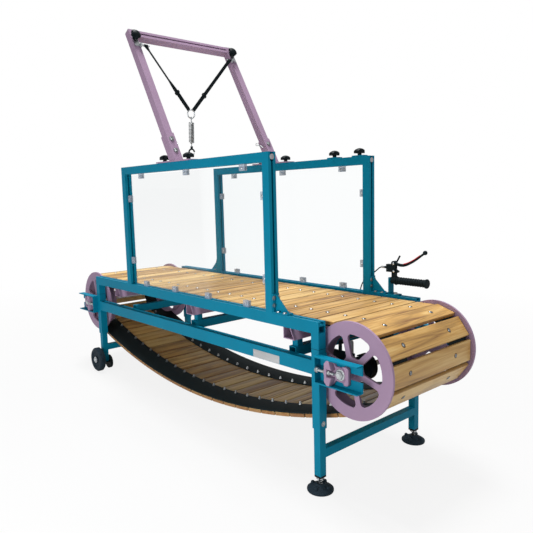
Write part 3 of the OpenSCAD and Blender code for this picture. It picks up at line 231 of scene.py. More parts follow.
class Shade:
    """The nodes of a material or of the world."""

    def __init__(self, owner, output="ShaderNodeOutputMaterial"):
        self.owner = owner
        owner.use_nodes = True
        self.tree = owner.node_tree
        self.tree.nodes.clear()
        self.out = self.node(output)
        self.place = self.node("ShaderNodeTexCoord").outputs["Object"]

    def node(self, kind, settings=None, inputs=None):
        """Adds a node, sets it up, then feeds its sockets with values or links."""
        made = self.tree.nodes.new(kind)
        for key, value in (settings or {}).items():
            if key == "stops":
                ramp = made.color_ramp.elements
                while len(ramp) < len(value):
                    ramp.new(0.5)
                for stop, (at, tone) in zip(ramp, value):
                    stop.position, stop.color = at, (*tone, 1.0)
            else:
                setattr(made, key, value)
        for key, value in (inputs or {}).items():
            socket = made.inputs[key]
            if isinstance(value, Val):
                value = value.socket
            if isinstance(value, bpy.types.NodeSocket):
                self.tree.links.new(value, socket)
            else:
                socket.default_value = value
        return made

    def val(self, kind, settings=None, inputs=None, output=0):
        return Val(self, self.node(kind, settings, inputs).outputs[output])

    def stretched(self, scale, vector=None):
        """Coordinates scaled along each axis."""
        inputs = {"Vector": vector or self.place, "Scale": scale}
        return self.node("ShaderNodeMapping", None, inputs).outputs["Vector"]

    def attribute(self, name, output="Vector"):
        return self.node("ShaderNodeAttribute", {"attribute_name": name}).outputs[output]

    def noise(self, scale, detail=2.0, rough=0.5, vector=None, distortion=0.0):
        """Smooth noise, about 0 to 1."""
        inputs = {"Vector": vector or self.place, "Scale": scale, "Detail": detail}
        inputs.update({"Roughness": rough, "Distortion": distortion})
        return self.val("ShaderNodeTexNoise", None, inputs)

    def ramp(self, factor, stops):
        return self.node("ShaderNodeValToRGB", {"stops": stops}, {"Fac": factor}).outputs["Color"]

    def blend(self, factor, a, b):
        """Colour a going to colour b."""
        a, b = ((*c, 1.0) if isinstance(c, tuple) else c for c in (a, b))
        inputs = {"Factor": factor, 6: a, 7: b}
        return self.node("ShaderNodeMix", {"data_type": "RGBA"}, inputs).outputs[2]

    def bump(self, height, strength, distance):
        inputs = {"Height": height, "Strength": strength, "Distance": distance}
        return self.node("ShaderNodeBump", None, inputs).outputs["Normal"]

    def mixed(self, factor, a, b):
        """Feeds the output with shader a going to shader b."""
        mix = self.node("ShaderNodeMixShader", None, {0: factor, 1: a.outputs[0], 2: b.outputs[0]})
        self.tree.links.new(mix.outputs[0], self.out.inputs["Surface"])
        return self.owner

    def surface(self, base, rough, metal=0.0, normal=None, **more):
        """Feeds the main shader and the output."""
        inputs = {"Base Color": (*base, 1.0) if isinstance(base, tuple) else base, "Roughness": rough}
        inputs["Metallic"] = metal
        if normal is not None:
            inputs["Normal"] = normal
        inputs.update({key.replace("_", " "): value for key, value in more.items()})
        shader = self.node("ShaderNodeBsdfPrincipled", None, inputs)
        self.tree.links.new(shader.outputs["BSDF"], self.out.inputs["Surface"])
        return self.owner

    def seen(self):
        """1 for rays to the eye or through a clear sheet, and less for reflections."""
        rays = self.node("ShaderNodeLightPath").outputs
        kinds = ("Camera", "Glossy", "Transmission")
        eye, gloss, through = (Val(self, rays[f"Is {kind} Ray"]) for kind in kinds)
        return eye.larger(through).larger(gloss * 0.35)


def shade(name):
    return Shade(bpy.data.materials.new(name))


def scaled(tone, factor):
    """A colour made lighter or darker."""
    return tuple(min(1.0, c * factor) for c in tone)


def powder_coat(name, tone):
    """Satin paint: a fine orange peel, slow shifts of tone and a little dust."""
    s = shade(name)
    peel = s.noise(1400.0, 2.0)
    slow = s.noise(5.0, 3.0)
    dust = s.noise(38.0, 4.0, 0.65)
    base = s.blend(slow, scaled(tone, 0.84), scaled(tone, 1.16))
    base = s.blend((dust - 0.6).clamped(0.5), base, tuple(0.05 + c for c in tone))
    rough = 0.42 + slow * 0.12 + (dust - 0.5) * 0.12
    return s.surface(base, rough, normal=s.bump(peel, 0.03, 0.0006), Specular_IOR_Level=0.1)


def zinc_plate(name, tone):
    """Plated steel with faint stains."""
    s = shade(name)
    stain = s.noise(120.0, 3.0, 0.6)
    base = s.blend(stain, scaled(tone, 0.62), scaled(tone, 1.2))
    return s.surface(base, 0.22 + stain * 0.2, 1.0, s.bump(s.noise(900.0), 0.05, 0.0004))


def board_wood(name, pale, gold, deep):
    """Oiled boards: bands and streaks along the board, pores, knots, dark edges (partly dirt, partly painted
    shade between boards), and a tone per board.
    """
    s = shade(name)
    grain = s.attribute("grain")
    tint, warm = (Val(s, s.attribute(key, "Fac")) for key in ("tint", "warm"))
    split = s.node("ShaderNodeSeparateXYZ", None, {0: s.attribute("edge")})
    across, along = (Val(s, split.outputs[i]) for i in (0, 1))
    bands = s.noise(1.0, 3.0, 0.55, s.stretched((17.0, 1.1, 14.0), grain), 2.2)
    streaks = s.noise(1.0, 4.0, 0.6, s.stretched((85.0, 2.2, 60.0), grain), 1.6)
    fine = s.noise(1.0, 3.0, 0.6, s.stretched((620.0, 9.0, 420.0), grain))
    pores = s.noise(1.0, 2.0, 0.6, s.stretched((1500.0, 42.0, 1500.0), grain))
    knots = s.noise(1.0, 1.0, 0.4, s.stretched((9.0, 4.2, 9.0), grain))
    tone = (bands - 0.5) * 1.8 + (streaks - 0.5) * 0.8 + (fine - 0.5) * 0.25 + (tint - 0.5) * 0.6 + 0.58
    stops = ((0.12, deep), (0.34, scaled(gold, 0.66)), (0.55, gold), (0.85, pale))
    base = s.blend(warm * 0.4, s.ramp(tone, stops), scaled(gold, 0.64))
    base = s.blend((knots - 0.66).clamped(3.0), base, scaled(deep, 0.7))
    base = s.blend((pores - 0.6).clamped(1.2), base, scaled(deep, 0.8))
    # Darker along both long edges: partly dirt, partly painted shade in the gaps between boards.
    base = s.blend((across.size() - 0.92).clamped(6.0), base, scaled(deep, 0.9))
    base = s.blend((along.size() - 0.993).clamped(110.0), base, scaled(deep, 1.5))
    normal = s.bump(fine * 0.6 + pores * 0.4, 0.18, 0.0008)
    return s.surface(base, 0.34 + streaks * 0.2, normal=normal, Specular_IOR_Level=0.6)


def belt_rubber(name, tone):
    """Dark belting: a fine cloth texture and scuffs along the run."""
    s = shade(name)
    weave = s.noise(700.0, 2.0)
    scuff = s.noise(1.0, 4.0, 0.6, s.stretched((30.0, 140.0, 30.0)))
    base = s.blend(scuff, scaled(tone, 0.6), scaled(tone, 1.7))
    return s.surface(base, 0.6 + scuff * 0.2, normal=s.bump(weave, 0.25, 0.0006), Specular_IOR_Level=0.12)


def moulded_plastic(name, tone, rough=0.42, gloss=0.1, solid=1.0):
    """Moulded plastic with a fine spark texture and rubbed patches, partly clear if solid is below 1."""
    s = shade(name)
    spark = s.noise(1800.0, 2.0)
    wear = s.noise(60.0, 3.0)
    base = s.blend(wear, scaled(tone, 0.8), scaled(tone, 1.35))
    normal = s.bump(spark, 0.04, 0.0005)
    return s.surface(base, rough + wear * 0.12, normal=normal, Specular_IOR_Level=gloss, Alpha=solid)


def satin_black(name, tone):
    """Black paint on metal."""
    s = shade(name)
    wear = s.noise(80.0, 4.0, 0.6)
    base = s.blend(wear, tone, scaled(tone, 2.2))
    normal = s.bump(s.noise(900.0), 0.08, 0.0005)
    return s.surface(base, 0.3 + wear * 0.18, normal=normal, Specular_IOR_Level=0.09)


def dull_rubber(name, tone):
    """Solid rubber with dull scuffs."""
    s = shade(name)
    scuff = s.noise(55.0, 5.0, 0.7)
    base = s.blend(scuff, scaled(tone, 0.7), scaled(tone, 2.2))
    normal = s.bump(s.noise(520.0, 3.0), 0.1, 0.0008)
    return s.surface(base, 0.5 + scuff * 0.22, normal=normal, Specular_IOR_Level=0.12)


def clear_sheet(name):
    """Clear sheet: light goes through, with a reflection that grows at low angles and faint smears."""
    s = shade(name)
    clear = s.node("ShaderNodeBsdfTransparent", None, {"Color": (0.985, 0.992, 0.993, 1.0)})
    gloss = s.node("ShaderNodeBsdfGlossy", None, {"Color": (1.0, 1.0, 1.0, 1.0), "Roughness": 0.03})
    edge = Val(s, s.node("ShaderNodeLayerWeight", None, {"Blend": 0.18}).outputs["Fresnel"])
    return s.mixed(edge * 0.12 + s.noise(7.0, 3.0) * 0.004, clear, gloss)


def webbing(name, tone):
    """Woven strap: slanted ribs across and along, on the piece's own map."""
    s = shade(name)
    split = s.node("ShaderNodeSeparateXYZ", None, {0: s.attribute("weave")})
    along, across = Val(s, split.outputs[0]), Val(s, split.outputs[1])
    rib = (along * 4200.0 + across * 2400.0).sine() * (across * 5200.0).sine()
    fuzz = s.noise(2600.0, 2.0)
    base = s.blend(rib * 0.5 + 0.5, scaled(tone, 0.6), scaled(tone, 2.2))
    normal = s.bump(rib + fuzz * 0.6, 0.5, 0.0006)
    return s.surface(base, 0.78 + fuzz * 0.12, normal=normal, Specular_IOR_Level=0.2)


def brushed_plate(name, tone):
    """Brushed metal sheet with lines along the plate."""
    s = shade(name)
    lines = s.noise(1.0, 3.0, 0.6, s.stretched((18.0, 900.0, 900.0)))
    base = s.blend(lines, scaled(tone, 0.8), scaled(tone, 1.1))
    return s.surface(base, 0.32 + lines * 0.14, 0.85, s.bump(lines, 0.06, 0.0003))


FINISH = {}


def make_finishes():
    """One material for each finish, from the colours that are set."""
    c = {key: tuple(getattr(colours(), key)) for key in MillColours.__annotations__}
    FINISH.update({
        "teal": powder_coat("teal_powder_coat", c["teal"]),
        # Painted shade in the tube seams: the frame's teal at a fifth.
        "seam": powder_coat("seam_shadow", scaled(c["teal"], 0.2)),
        "lilac": powder_coat("lilac_powder_coat", c["lilac"]),
        "zinc": zinc_plate("bright_zinc", c["zinc"]),
        # Darker copies of the zinc colour, painted shade: 0.6 for the frame and mast bolts, the spring and its
        # hook, 0.42 for the bolts on the deck, front and rear runs.
        "grey_zinc": zinc_plate("grey_zinc", scaled(c["zinc"], 0.6)),
        "dull_zinc": zinc_plate("dull_zinc", scaled(c["zinc"], 0.42)),
        "wood": board_wood("slat_wood", c["wood_pale"], c["wood_gold"], c["wood_deep"]),
        "belt": belt_rubber("belt_rubber", c["belt"]),
        "plastic": moulded_plastic("black_plastic", c["black"]),
        "paint": satin_black("satin_black_paint", c["black"]),
        "rubber": dull_rubber("black_rubber", c["tyre"]),
        "grip": dull_rubber("grip_rubber", c["black"]),
        # Painted shade round the board bolts: the deep wood tone at 0.3.
        "recess": moulded_plastic("bolt_recess", scaled(c["wood_deep"], 0.3)),
        "clear": clear_sheet("clear_sheet"),
        "clip": moulded_plastic("clear_clip_plastic", c["clip"], 0.2, 0.5, 0.6),
        "cap": moulded_plastic("grey_plug_plastic", c["cap"]),
        "web": webbing("black_webbing", c["black"]),
        "red": moulded_plastic("red_lever_stripe", c["red"]),
        "plate": brushed_plate("bare_plate", c["plate"]),
    })


SLOT_FINISH = {
    "frame_teal": "teal", "profile_teal": "teal", "drum_lilac": "lilac", "steel_lilac": "lilac", "zinc": "zinc",
    "black_metal": "paint", "slat_wood": "wood", "belt_rubber": "belt", "slide_plastic": "plastic",
    "clear_panel": "clear", "clip_plastic": "clip", "black_plastic": "plastic", "tyre_rubber": "rubber",
    "foot_rubber": "rubber", "grip_rubber": "grip", "strap_web": "web",
}


def deck(p):
    """Deck-frame millimetres to floor-frame metres: turn by the slope, lift, and scale."""
    p = np.asarray(p, float)
    c, s = math.cos(SLOPE), math.sin(SLOPE)
    x, z = p[..., 0], p[..., 2]
    return np.stack([x * c - z * s + SET_BACK, p[..., 1], x * s + z * c + LIFT], -1) / 1000


def mast(p):
    """Mast-frame millimetres (out in front, across, up the mast) to the deck's frame: turn by the lean."""
    p = np.asarray(p, float)
    c, s = math.cos(MAST_LEAN), math.sin(MAST_LEAN)
    x, a = p[..., 0], p[..., 2]
    return np.stack([x * c - a * s, p[..., 1], MAST_BASE_Z + x * s + a * c], -1)


MAST_FRONT = (math.cos(MAST_LEAN), 0.0, math.sin(MAST_LEAN))


def both_sides(x, y, z):
    """A point or a direction, and its mirror image across the mill."""
    return [(x, side * y, z) for side in SIDES]


def unit(v):
    """Vectors of length 1."""
    return v / np.linalg.norm(v, axis=-1, keepdims=True)


def turns(axes):
    """For each axis, a turn whose columns are two square directions and the axis."""
    a = unit(np.atleast_2d(np.asarray(axes, float)))
    ref = np.where(np.abs(a[:, 2:]) > 0.9, [[1.0, 0, 0]], [[0, 0, 1.0]])
    u = unit(np.cross(ref, a))
    return np.stack([u, np.cross(a, u), a], 2)


def lathe(profile, centres, axes, sides):
    """A profile of radius and height turned about each axis: rings of points round each centre."""
    r, h = np.array(profile, float).T
    a = np.arange(sides) * 2 * np.pi / sides
    ring = np.stack([np.outer(r, np.cos(a)), np.outer(r, np.sin(a)), np.outer(h, np.ones(sides))], -1)
    where = np.atleast_2d(np.asarray(centres, float))
    spin = np.broadcast_to(turns(axes), (len(where), 3, 3))
    return np.einsum("kij,nmj->knmi", spin, ring) + where[:, None, None, :]


def carried(path, section, side, size=1.0):
    """A flat section carried along a path: its first axis points to side, its second is square to both."""
    path = np.asarray(path, float)
    along = unit(np.gradient(path, axis=0))
    a = np.broadcast_to(np.asarray(side, float), path.shape)
    a = unit(a - along * np.sum(a * along, 1, keepdims=True))
    b = np.cross(along, a)
    s = np.asarray(section, float)[None] * np.broadcast_to(size, len(path))[:, None, None]
    return path[:, None] + a[:, None] * s[..., :1] + b[:, None] * s[..., 1:]


def round_box(w, h, r, steps=3):
    """Outline of a rectangle with round corners, as quarter circles joined by straight edges."""
    a = np.linspace(0, np.pi / 2, steps)
    arcs = [
        np.stack([sx * (w / 2 - r) + r * np.cos(a + q), sz * (h / 2 - r) + r * np.sin(a + q)], 1)
        for sx, sz, q in ((1, 1, 0), (-1, 1, np.pi / 2), (-1, -1, np.pi), (1, -1, 1.5 * np.pi))
    ]
    return np.concatenate(arcs)


def oval(rx, ry, sides):
    """Outline of an ellipse."""
    a = np.arange(sides) * 2 * np.pi / sides
    return np.stack([rx * np.cos(a), ry * np.sin(a)], 1)


def smooth_path(points, per=8):
    """A Catmull-Rom curve through the points."""
    p = np.asarray(points, float)
    p = np.concatenate([2 * p[:1] - p[1:2], p, 2 * p[-1:] - p[-2:-1]])
    t = (np.arange(per) / per)[None, :, None]
    a, b, c, d = (p[i : len(p) - 3 + i, None] for i in range(4))
    q = 0.5 * (2 * b + (c - a) * t + (2 * a - 5 * b + 4 * c - d) * t**2 + (3 * b - a - 3 * c + d) * t**3)
    return np.concatenate([q.reshape(-1, 3), p[-2:-1]])


def wire(points, r, sides):
    """A round wire along a smooth path, with its section kept square to the path."""
    path = smooth_path(points)
    along = unit(np.gradient(path, axis=0))
    ref = np.where(np.abs(along[:, 2:]) > 0.9, [[0, 1.0, 0]], [[0, 0, 1.0]])
    return carried(path, oval(r, r, sides), unit(np.cross(along, ref)))


def skin(rings, closed=False):
    """Quads between rings of points, with a flat cap on each open end. Rings are (..., n, m, 3)."""
    n, m = rings.shape[-3:-1]
    k = rings.reshape(-1, n, m, 3).shape[0]
    index = np.arange(k * n * m).reshape(k, n, m)
    rows = index if not closed else np.concatenate([index, index[:, :1]], 1)
    right = np.roll(rows, -1, 2)
    quads = np.stack([rows[:, :-1], right[:, :-1], right[:, 1:], rows[:, 1:]], -1).reshape(-1, 4)
    caps = [] if closed else [*index[:, 0, ::-1], *index[:, -1]]
    return rings.reshape(-1, 3), [*quads.tolist(), *(c.tolist() for c in caps)]


def piece(name, shells, finish, body, replaces=(), marks=None):
    """One mesh of several shells, shaded smooth up to the crease angle, riding on a body."""
    verts, faces, start = [], [], 0
    for rings, closed in ((s if isinstance(s, tuple) else (s, False)) for s in shells):
        v, f = skin(rings, closed)
        verts.append(v)
        faces += [[i + start for i in face] for face in f]
        start += len(v)
    mesh = bpy.data.meshes.new(name)
    mesh.from_pydata(np.concatenate(verts).tolist(), [], faces)
    for key, values in (marks or {}).items():
        kind = "FLOAT_VECTOR" if values.ndim == 2 else "FLOAT"
        layer = mesh.attributes.new(key, kind, "POINT")
        layer.data.foreach_set("vector" if values.ndim == 2 else "value", values.astype(np.float32).ravel())
    work = bmesh.new()
    work.from_mesh(mesh)
    bmesh.ops.recalc_face_normals(work, faces=work.faces)
    work.to_mesh(mesh)
    work.free()
    mesh.polygons.foreach_set("use_smooth", np.ones(len(mesh.polygons), bool))
    mesh.set_sharp_from_angle(angle=CREASE)
    mesh.materials.append(FINISH[finish])
    made = bpy.data.objects.new(name, mesh)
    bpy.context.scene.collection.objects.link(made)
    if body:
        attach(made, body)
    if replaces:
        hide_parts(*replaces)
    return made


def zinc_bits(name, shells, body, replaces=(), finish="zinc"):
    """Plated fasteners, set out in the deck's frame."""
    return piece(name, [deck(v) for v in shells], finish, body, replaces)


def hex_heads(centres, axes, across, height, washer=0.95):
    """Hex heads with a chamfered top, on round washers whose radius is a share of the width across."""
    r = across / math.sqrt(3)
    shells = [lathe([(r, 0), (r, height * 0.82), (r * 0.88, height)], centres, axes, 6)]
    if washer:
        edge = across * washer
        shells.append(lathe([(edge, 0), (edge, height * 0.2), (edge * 0.8, height * 0.27)], centres, axes, 20))
    return shells


def eased(outline, d):
    """An outline moved inwards by d: each corner goes along the sum of its two edges' inward normals."""
    p = np.asarray(outline, float)
    along = unit(np.roll(p, -1, 0) - p)
    normal = np.stack([along[:, 1], -along[:, 0]], 1)
    before = np.roll(normal, 1, 0)
    return p + d * (normal + before) / (1 + np.sum(normal * before, 1, keepdims=True))


def casting(outline, back, face, ease):
    """A flat casting from back to face, with its front edge rounded: the outline, and two eased ones."""
    steps = ((0, back), (0, face - ease), (ease * 0.3, face - ease * 0.3), (ease, face))
    rings = [eased(outline, d) for d, _ in steps]
    return np.stack([np.stack([v[:, 0], 0 * v[:, 0] + y, v[:, 1]], 1) for v, (_, y) in zip(rings, steps)])


def button_heads(centres, axes, r):
    """Low round screw heads with a socket."""
    profile = np.array([(1, 0), (1, 0.22), (0.8, 0.45), (0.45, 0.52), (0.42, 0.2), (0.1, 0.2)]) * r
    return lathe(profile, centres, axes, 16)


def thread(r, length, pitch):
    """Profile of a screw thread, as a row of ridges."""
    n = int(length / pitch)
    h = np.arange(2 * n + 1) * pitch / 2
    return np.stack([np.where(np.arange(2 * n + 1) % 2 == 0, r * 0.88, r), h], 1)


def arc_of(x):
    """Length of the slack curve, a parabola, from its lowest point to x."""
    u = SLACK_K * x
    return x * np.sqrt(1 + u * u) / 2 + np.arcsinh(u) / (2 * SLACK_K)


SPAN = 2 * DRUM_X
WRAP = BELT_R * (np.pi - SLACK)
SLACK_LEN = 2 * float(arc_of(SLACK_X))
LOOP = SPAN + 2 * WRAP + SLACK_LEN


def on_loop(s):
    """Place (x, z) and turn of the outward side from up, at distances s along the loop.

    The loop is a straight top run, half a turn and less round the front drum, a parabola, and the
    same round the rear drum. Newton steps find the parabola's x for an arc length.
    """
    s = np.mod(np.asarray(s, float), LOOP)
    front, slack, rear = s - SPAN, s - SPAN - WRAP, s - SPAN - WRAP - SLACK_LEN
    goal = SLACK_LEN / 2 - slack
    x = np.clip(goal, -SLACK_X, SLACK_X)
    for _ in range(6):
        x = x - (arc_of(x) - goal) / np.sqrt(1 + (SLACK_K * x) ** 2)
    a, b = front / BELT_R, np.pi + SLACK + rear / BELT_R
    pick = [s < SPAN, front < WRAP, slack < SLACK_LEN]
    px = np.select(pick, [s - DRUM_X, DRUM_X + BELT_R * np.sin(a), x], -DRUM_X + BELT_R * np.sin(b))
    low = SLACK_LOW + SLACK_K * x * x / 2
    pz = np.select(pick, [BELT_R + 0 * s, BELT_R * np.cos(a), low], BELT_R * np.cos(b))
    turn = np.select(pick, [0 * s, a, np.pi - np.arctan(SLACK_K * x)], b)
    return px, DRUM_Z + pz, turn


def loop_frames(s):
    """Points of the loop with their forward and outward directions, in the deck's frame."""
    x, z, turn = on_loop(s)
    zero = 0 * x
    at = np.stack([x, zero, z], -1)
    forward = np.stack([np.cos(turn), zero, -np.sin(turn)], -1)
    outward = np.stack([np.sin(turn), zero, np.cos(turn)], -1)
    return at, forward, outward


def board_places():
    """Distances of the boards along the loop, and the number of the run each is in."""
    s = np.mod(SPAN + BELT_R * np.pi / 2 + np.arange(BOARD_N) * LOOP / BOARD_N, LOOP)
    run = np.select([s < SPAN, s < SPAN + WRAP, s < LOOP - WRAP], [0, 1, 2], 3)
    return s, run


class MILL_OT_finishes(bpy.types.Operator):
    """Makes the finishes and gives them to the solid parts"""

    bl_idname = "mill.finishes"
    bl_label = "Finishes"

    def execute(self, context):
        make_finishes()
        for row in frame["record"]["subparts"]:
            data = frame["nodes"][row["node"]].data
            data.materials.clear()
            data.materials.append(FINISH[SLOT_FINISH[row["material_slot"]]])
        return {"FINISHED"}


class MILL_OT_boards(bpy.types.Operator):
    """Wooden slats with eased edges, in four runs, with a bolt over each belt"""

    bl_idname = "mill.boards"
    bl_label = "Boards"

    def execute(self, context):
        z = sizes()
        w, t, length, r = (v * 1000 for v in (z.board_width, z.board_thick, z.board_length, z.board_round))
        draw = np.random.default_rng(SEED)
        s, run = board_places()
        tint, shift = draw.random(BOARD_N), draw.random((BOARD_N, 3)) * GRAIN_SHIFT
        section = round_box(w, t, r)
        slim = round_box(w - 2 * r, t - 2 * r, r / 2)
        ends = np.array([-length / 2, r - length / 2, length / 2 - r, length / 2])
        rows = np.stack([slim, section, section, slim])
        local = np.stack([rows[..., 0], np.broadcast_to(ends[:, None], rows.shape[:2]), rows[..., 1]], -1)
        for k, label in enumerate(("deck", "front", "slack", "rear")):
            at, forward, outward = loop_frames(s[run == k])
            middle = at + outward * (BELT_T + t) / 2
            across = np.broadcast_to(ACROSS, at.shape)
            spin = np.stack([forward, across, outward], 2)
            rings = np.einsum("kij,nmj->knmi", spin, local) + middle[:, None, None]
            grain = local[None] / 1000 + shift[run == k][:, None, None]
            edge = np.broadcast_to(local * [2 / w, 2 / length, 2 / t], grain.shape)
            marks = {"grain": grain.reshape(-1, 3), "edge": edge.reshape(-1, 3)}
            for key, values in (("tint", tint), ("warm", shift[:, 0] / GRAIN_SHIFT)):
                marks[key] = np.repeat(values[run == k], local.shape[0] * local.shape[1])
            piece(f"boards_{label}", [deck(rings)], "wood", "frame", (f"slats_{label}",), marks)
            self.bolts(label, middle, across, outward, z.bolt_head * 1000, z.bolt_side * 1000, t)
        return {"FINISHED"}

    def bolts(self, label, middle, across, outward, head, side, t):
        """Low domed heads on the boards with a dark ring of painted shade round each, and nuts with bolt ends
        inside the belts.
        """
        dome = np.array([(0.5, 0), (0.5, 0.06), (0.36, 0.17), (0.14, 0.22)]) * head
        nut = np.array([(0.5, 0), (0.5, 0.34), (0.3, 0.4), (0.3, 0.8)]) * head
        # Painted shade: a dark ring under each head, wider than the head.
        rim = [(head * 0.64, -0.5), (head * 0.64, 0.15), (head * 0.45, 0.15)]
        shells, shade_rings = [], []
        for way in (-side, side):
            spot = middle + across * way
            shells.append(lathe(dome, spot + outward * t / 2, outward, 12))
            shells.append(lathe(nut, spot - outward * (t / 2 + BELT_T), -outward, 6))
            shade_rings.append(deck(lathe(rim, spot + outward * t / 2, outward, 14)))
        # Painted shade: the board bolts take the darker zinc copy, except the nuts of the slack run.
        finish = "zinc" if label == "slack" else "dull_zinc"
        zinc_bits(f"board_bolts_{label}", shells, "frame", finish=finish)
        piece(f"bolt_rims_{label}", shade_rings, "recess", "frame")


class MILL_OT_belts(bpy.types.Operator):
    """The two belts, as closed bands along the loop"""

    bl_idname = "mill.belts"
    bl_label = "Belts"

    def execute(self, context):
        width = sizes().belt_width * 1000
        s = np.concatenate([
            np.linspace(0, SPAN, 24, endpoint=False),
            SPAN + np.linspace(0, WRAP, 40, endpoint=False),
            SPAN + WRAP + np.linspace(0, SLACK_LEN, 96, endpoint=False),
            SPAN + WRAP + SLACK_LEN + np.linspace(0, WRAP, 40, endpoint=False),
        ])
        at, _, outward = loop_frames(s)
        edge = round_box(width, BELT_T, 1.2)
        shells = []
        for side in SIDES:
            middle = at + ACROSS * side * (BELT_OUT - width / 2)
            rings = middle[:, None] + ACROSS * edge[None, :, :1] + outward[:, None] * edge[None, :, 1:]
            shells.append((deck(rings), True))
        piece("belt_bands", shells, "belt", "frame", ("belts",))
        return {"FINISHED"}


class MILL_OT_fasteners(bpy.types.Operator):
    """Bolts of the frame, screws of the panel clips, painted shade in the tube seams and the bare plate"""

    bl_idname = "mill.fasteners"
    bl_label = "Frame fasteners"

    def execute(self, context):
        self.bolts()
        self.clip_screws()
        self.seams()
        self.plate()
        return {"FINISHED"}

    def bolts(self):
        """Corner brackets, leg sleeves, beam ends and the handle's foot."""
        spots, axes = [], []

        def add(at, axis):
            spots.append(at)
            axes.append(axis)

        def bracket(x, way, y, along):
            """Pairs of bolts on a corner bracket: two up the post, the rest along the rail."""
            for dy in (-11, 11):
                for up in (32, 62):
                    add((x + way * 6, y + dy, RAIL_TOP + up), way * ALONG)
                for out in along:
                    add((x + way * out, y + dy, RAIL_TOP + 6), UP)

        for side in SIDES:
            y = side * RAIL_Y
            bracket(SIDE_FRONT, 1, y, (30, 68))
            add((LEG_X + 20, y, FRONT_SLEEVE_BOT + 22), ALONG)
            add((-LEG_X - 20, y, REAR_SLEEVE_BOT + 22), -ALONG)
        bracket(SIDE_REAR, -1, RAIL_Y, (30,))
        shells = hex_heads(spots, axes, 11, 5)
        shells += hex_heads((FOOT_BOLT_X, RAIL_Y, RAIL_TOP + 6), UP, 16, 7.5, 0.8)
        # Painted shade: the frame bolts take a darker copy of the zinc.
        zinc_bits("frame_bolts", shells, "frame", finish="grey_zinc")
        ends = [(x, side * RAIL_Y, BEAM_TOP - PROFILE / 2) for side in SIDES for x in (SIDE_FRONT, SIDE_REAR)]
        ways = [(math.copysign(1, x), 0, 0) for x, _, _ in ends]
        plugs = lathe([(11.5, 0), (11.5, 0.8), (10, 1.6), (2, 1.8)], ends, ways, 24)
        piece("beam_end_plugs", [deck(plugs)], "cap", "frame")

    def clip_screws(self):
        """A small screw on both faces of each panel clip."""
        middle, run, half = (SIDE_REAR + SIDE_FRONT) / 2, SIDE_FRONT - SIDE_REAR - 2 * PROFILE, 8
        beam_low, reach = BEAM_TOP - PROFILE, 17
        spots = [(middle + k * run, RAIL_TOP + reach) for k in (-0.375, -0.125, 0.125, 0.375)]
        spots += [(middle + k * run, beam_low - reach) for k in (-0.375, 0, 0.375)]
        rise = BEAM_TOP - RAIL_TOP - PROFILE
        spots += [(middle + w * (run / 2 - reach), RAIL_TOP + k * rise) for w in SIDES for k in (0.22, 0.78)]
        at = [(x, side * RAIL_Y + face * half, z) for x, z in spots for side in SIDES for face in SIDES]
        way = [(0, face, 0) for _ in spots for _ in SIDES for face in SIDES]
        zinc_bits("clip_screws", [button_heads(at, way, 4.5)], "frame")

    def seams(self):
        """Painted shade in the joint gaps where the corner posts stand on the leg sleeves: thin dark bands."""
        line = round_box(PROFILE, PROFILE, 1.0)
        shells = []
        for x in (-LEG_X, LEG_X):
            for y in (-RAIL_Y, RAIL_Y):
                loop = np.stack([line[:, 0] + x, line[:, 1] + y, 0 * line[:, 0] + SEAM_Z], 1)
                out = unit(np.stack([np.sign(line[:, 0]), np.sign(line[:, 1]), 0 * line[:, 0]], 1))
                band = ((0.35, -0.9), (0.35, 0.9), (-0.8, 0.9), (-0.8, -0.9))
                rings = [loop + out * a + np.array([0, 0, b]) for a, b in band]
                shells.append((deck(np.stack(rings)), True))
        piece("tube_seams", shells, "seam", "frame")

    def plate(self):
        """The bare plate on the near middle rail, with a rivet at each end."""
        outline = round_box(TAG_LEN, TAG_HIGH, 3)
        x, z = outline.T
        rows = ((1, 1, 0), (1, 1, 0.8), (0.985, 0.94, 1.1))
        rings = [np.stack([x * a + TAG_X, 0 * x - (RAIL_OUT + d), z * b + TAG_Z], -1) for a, b, d in rows]
        spots = [(x, -RAIL_OUT - 1, TAG_Z) for x in RIVETS_X]
        rivets = lathe([(3.2, 0), (3.2, 0.8), (1.6, 1.8)], spots, -ACROSS, 12)
        piece("bare_plate", [deck(rings), deck(rivets)], "plate", "frame")


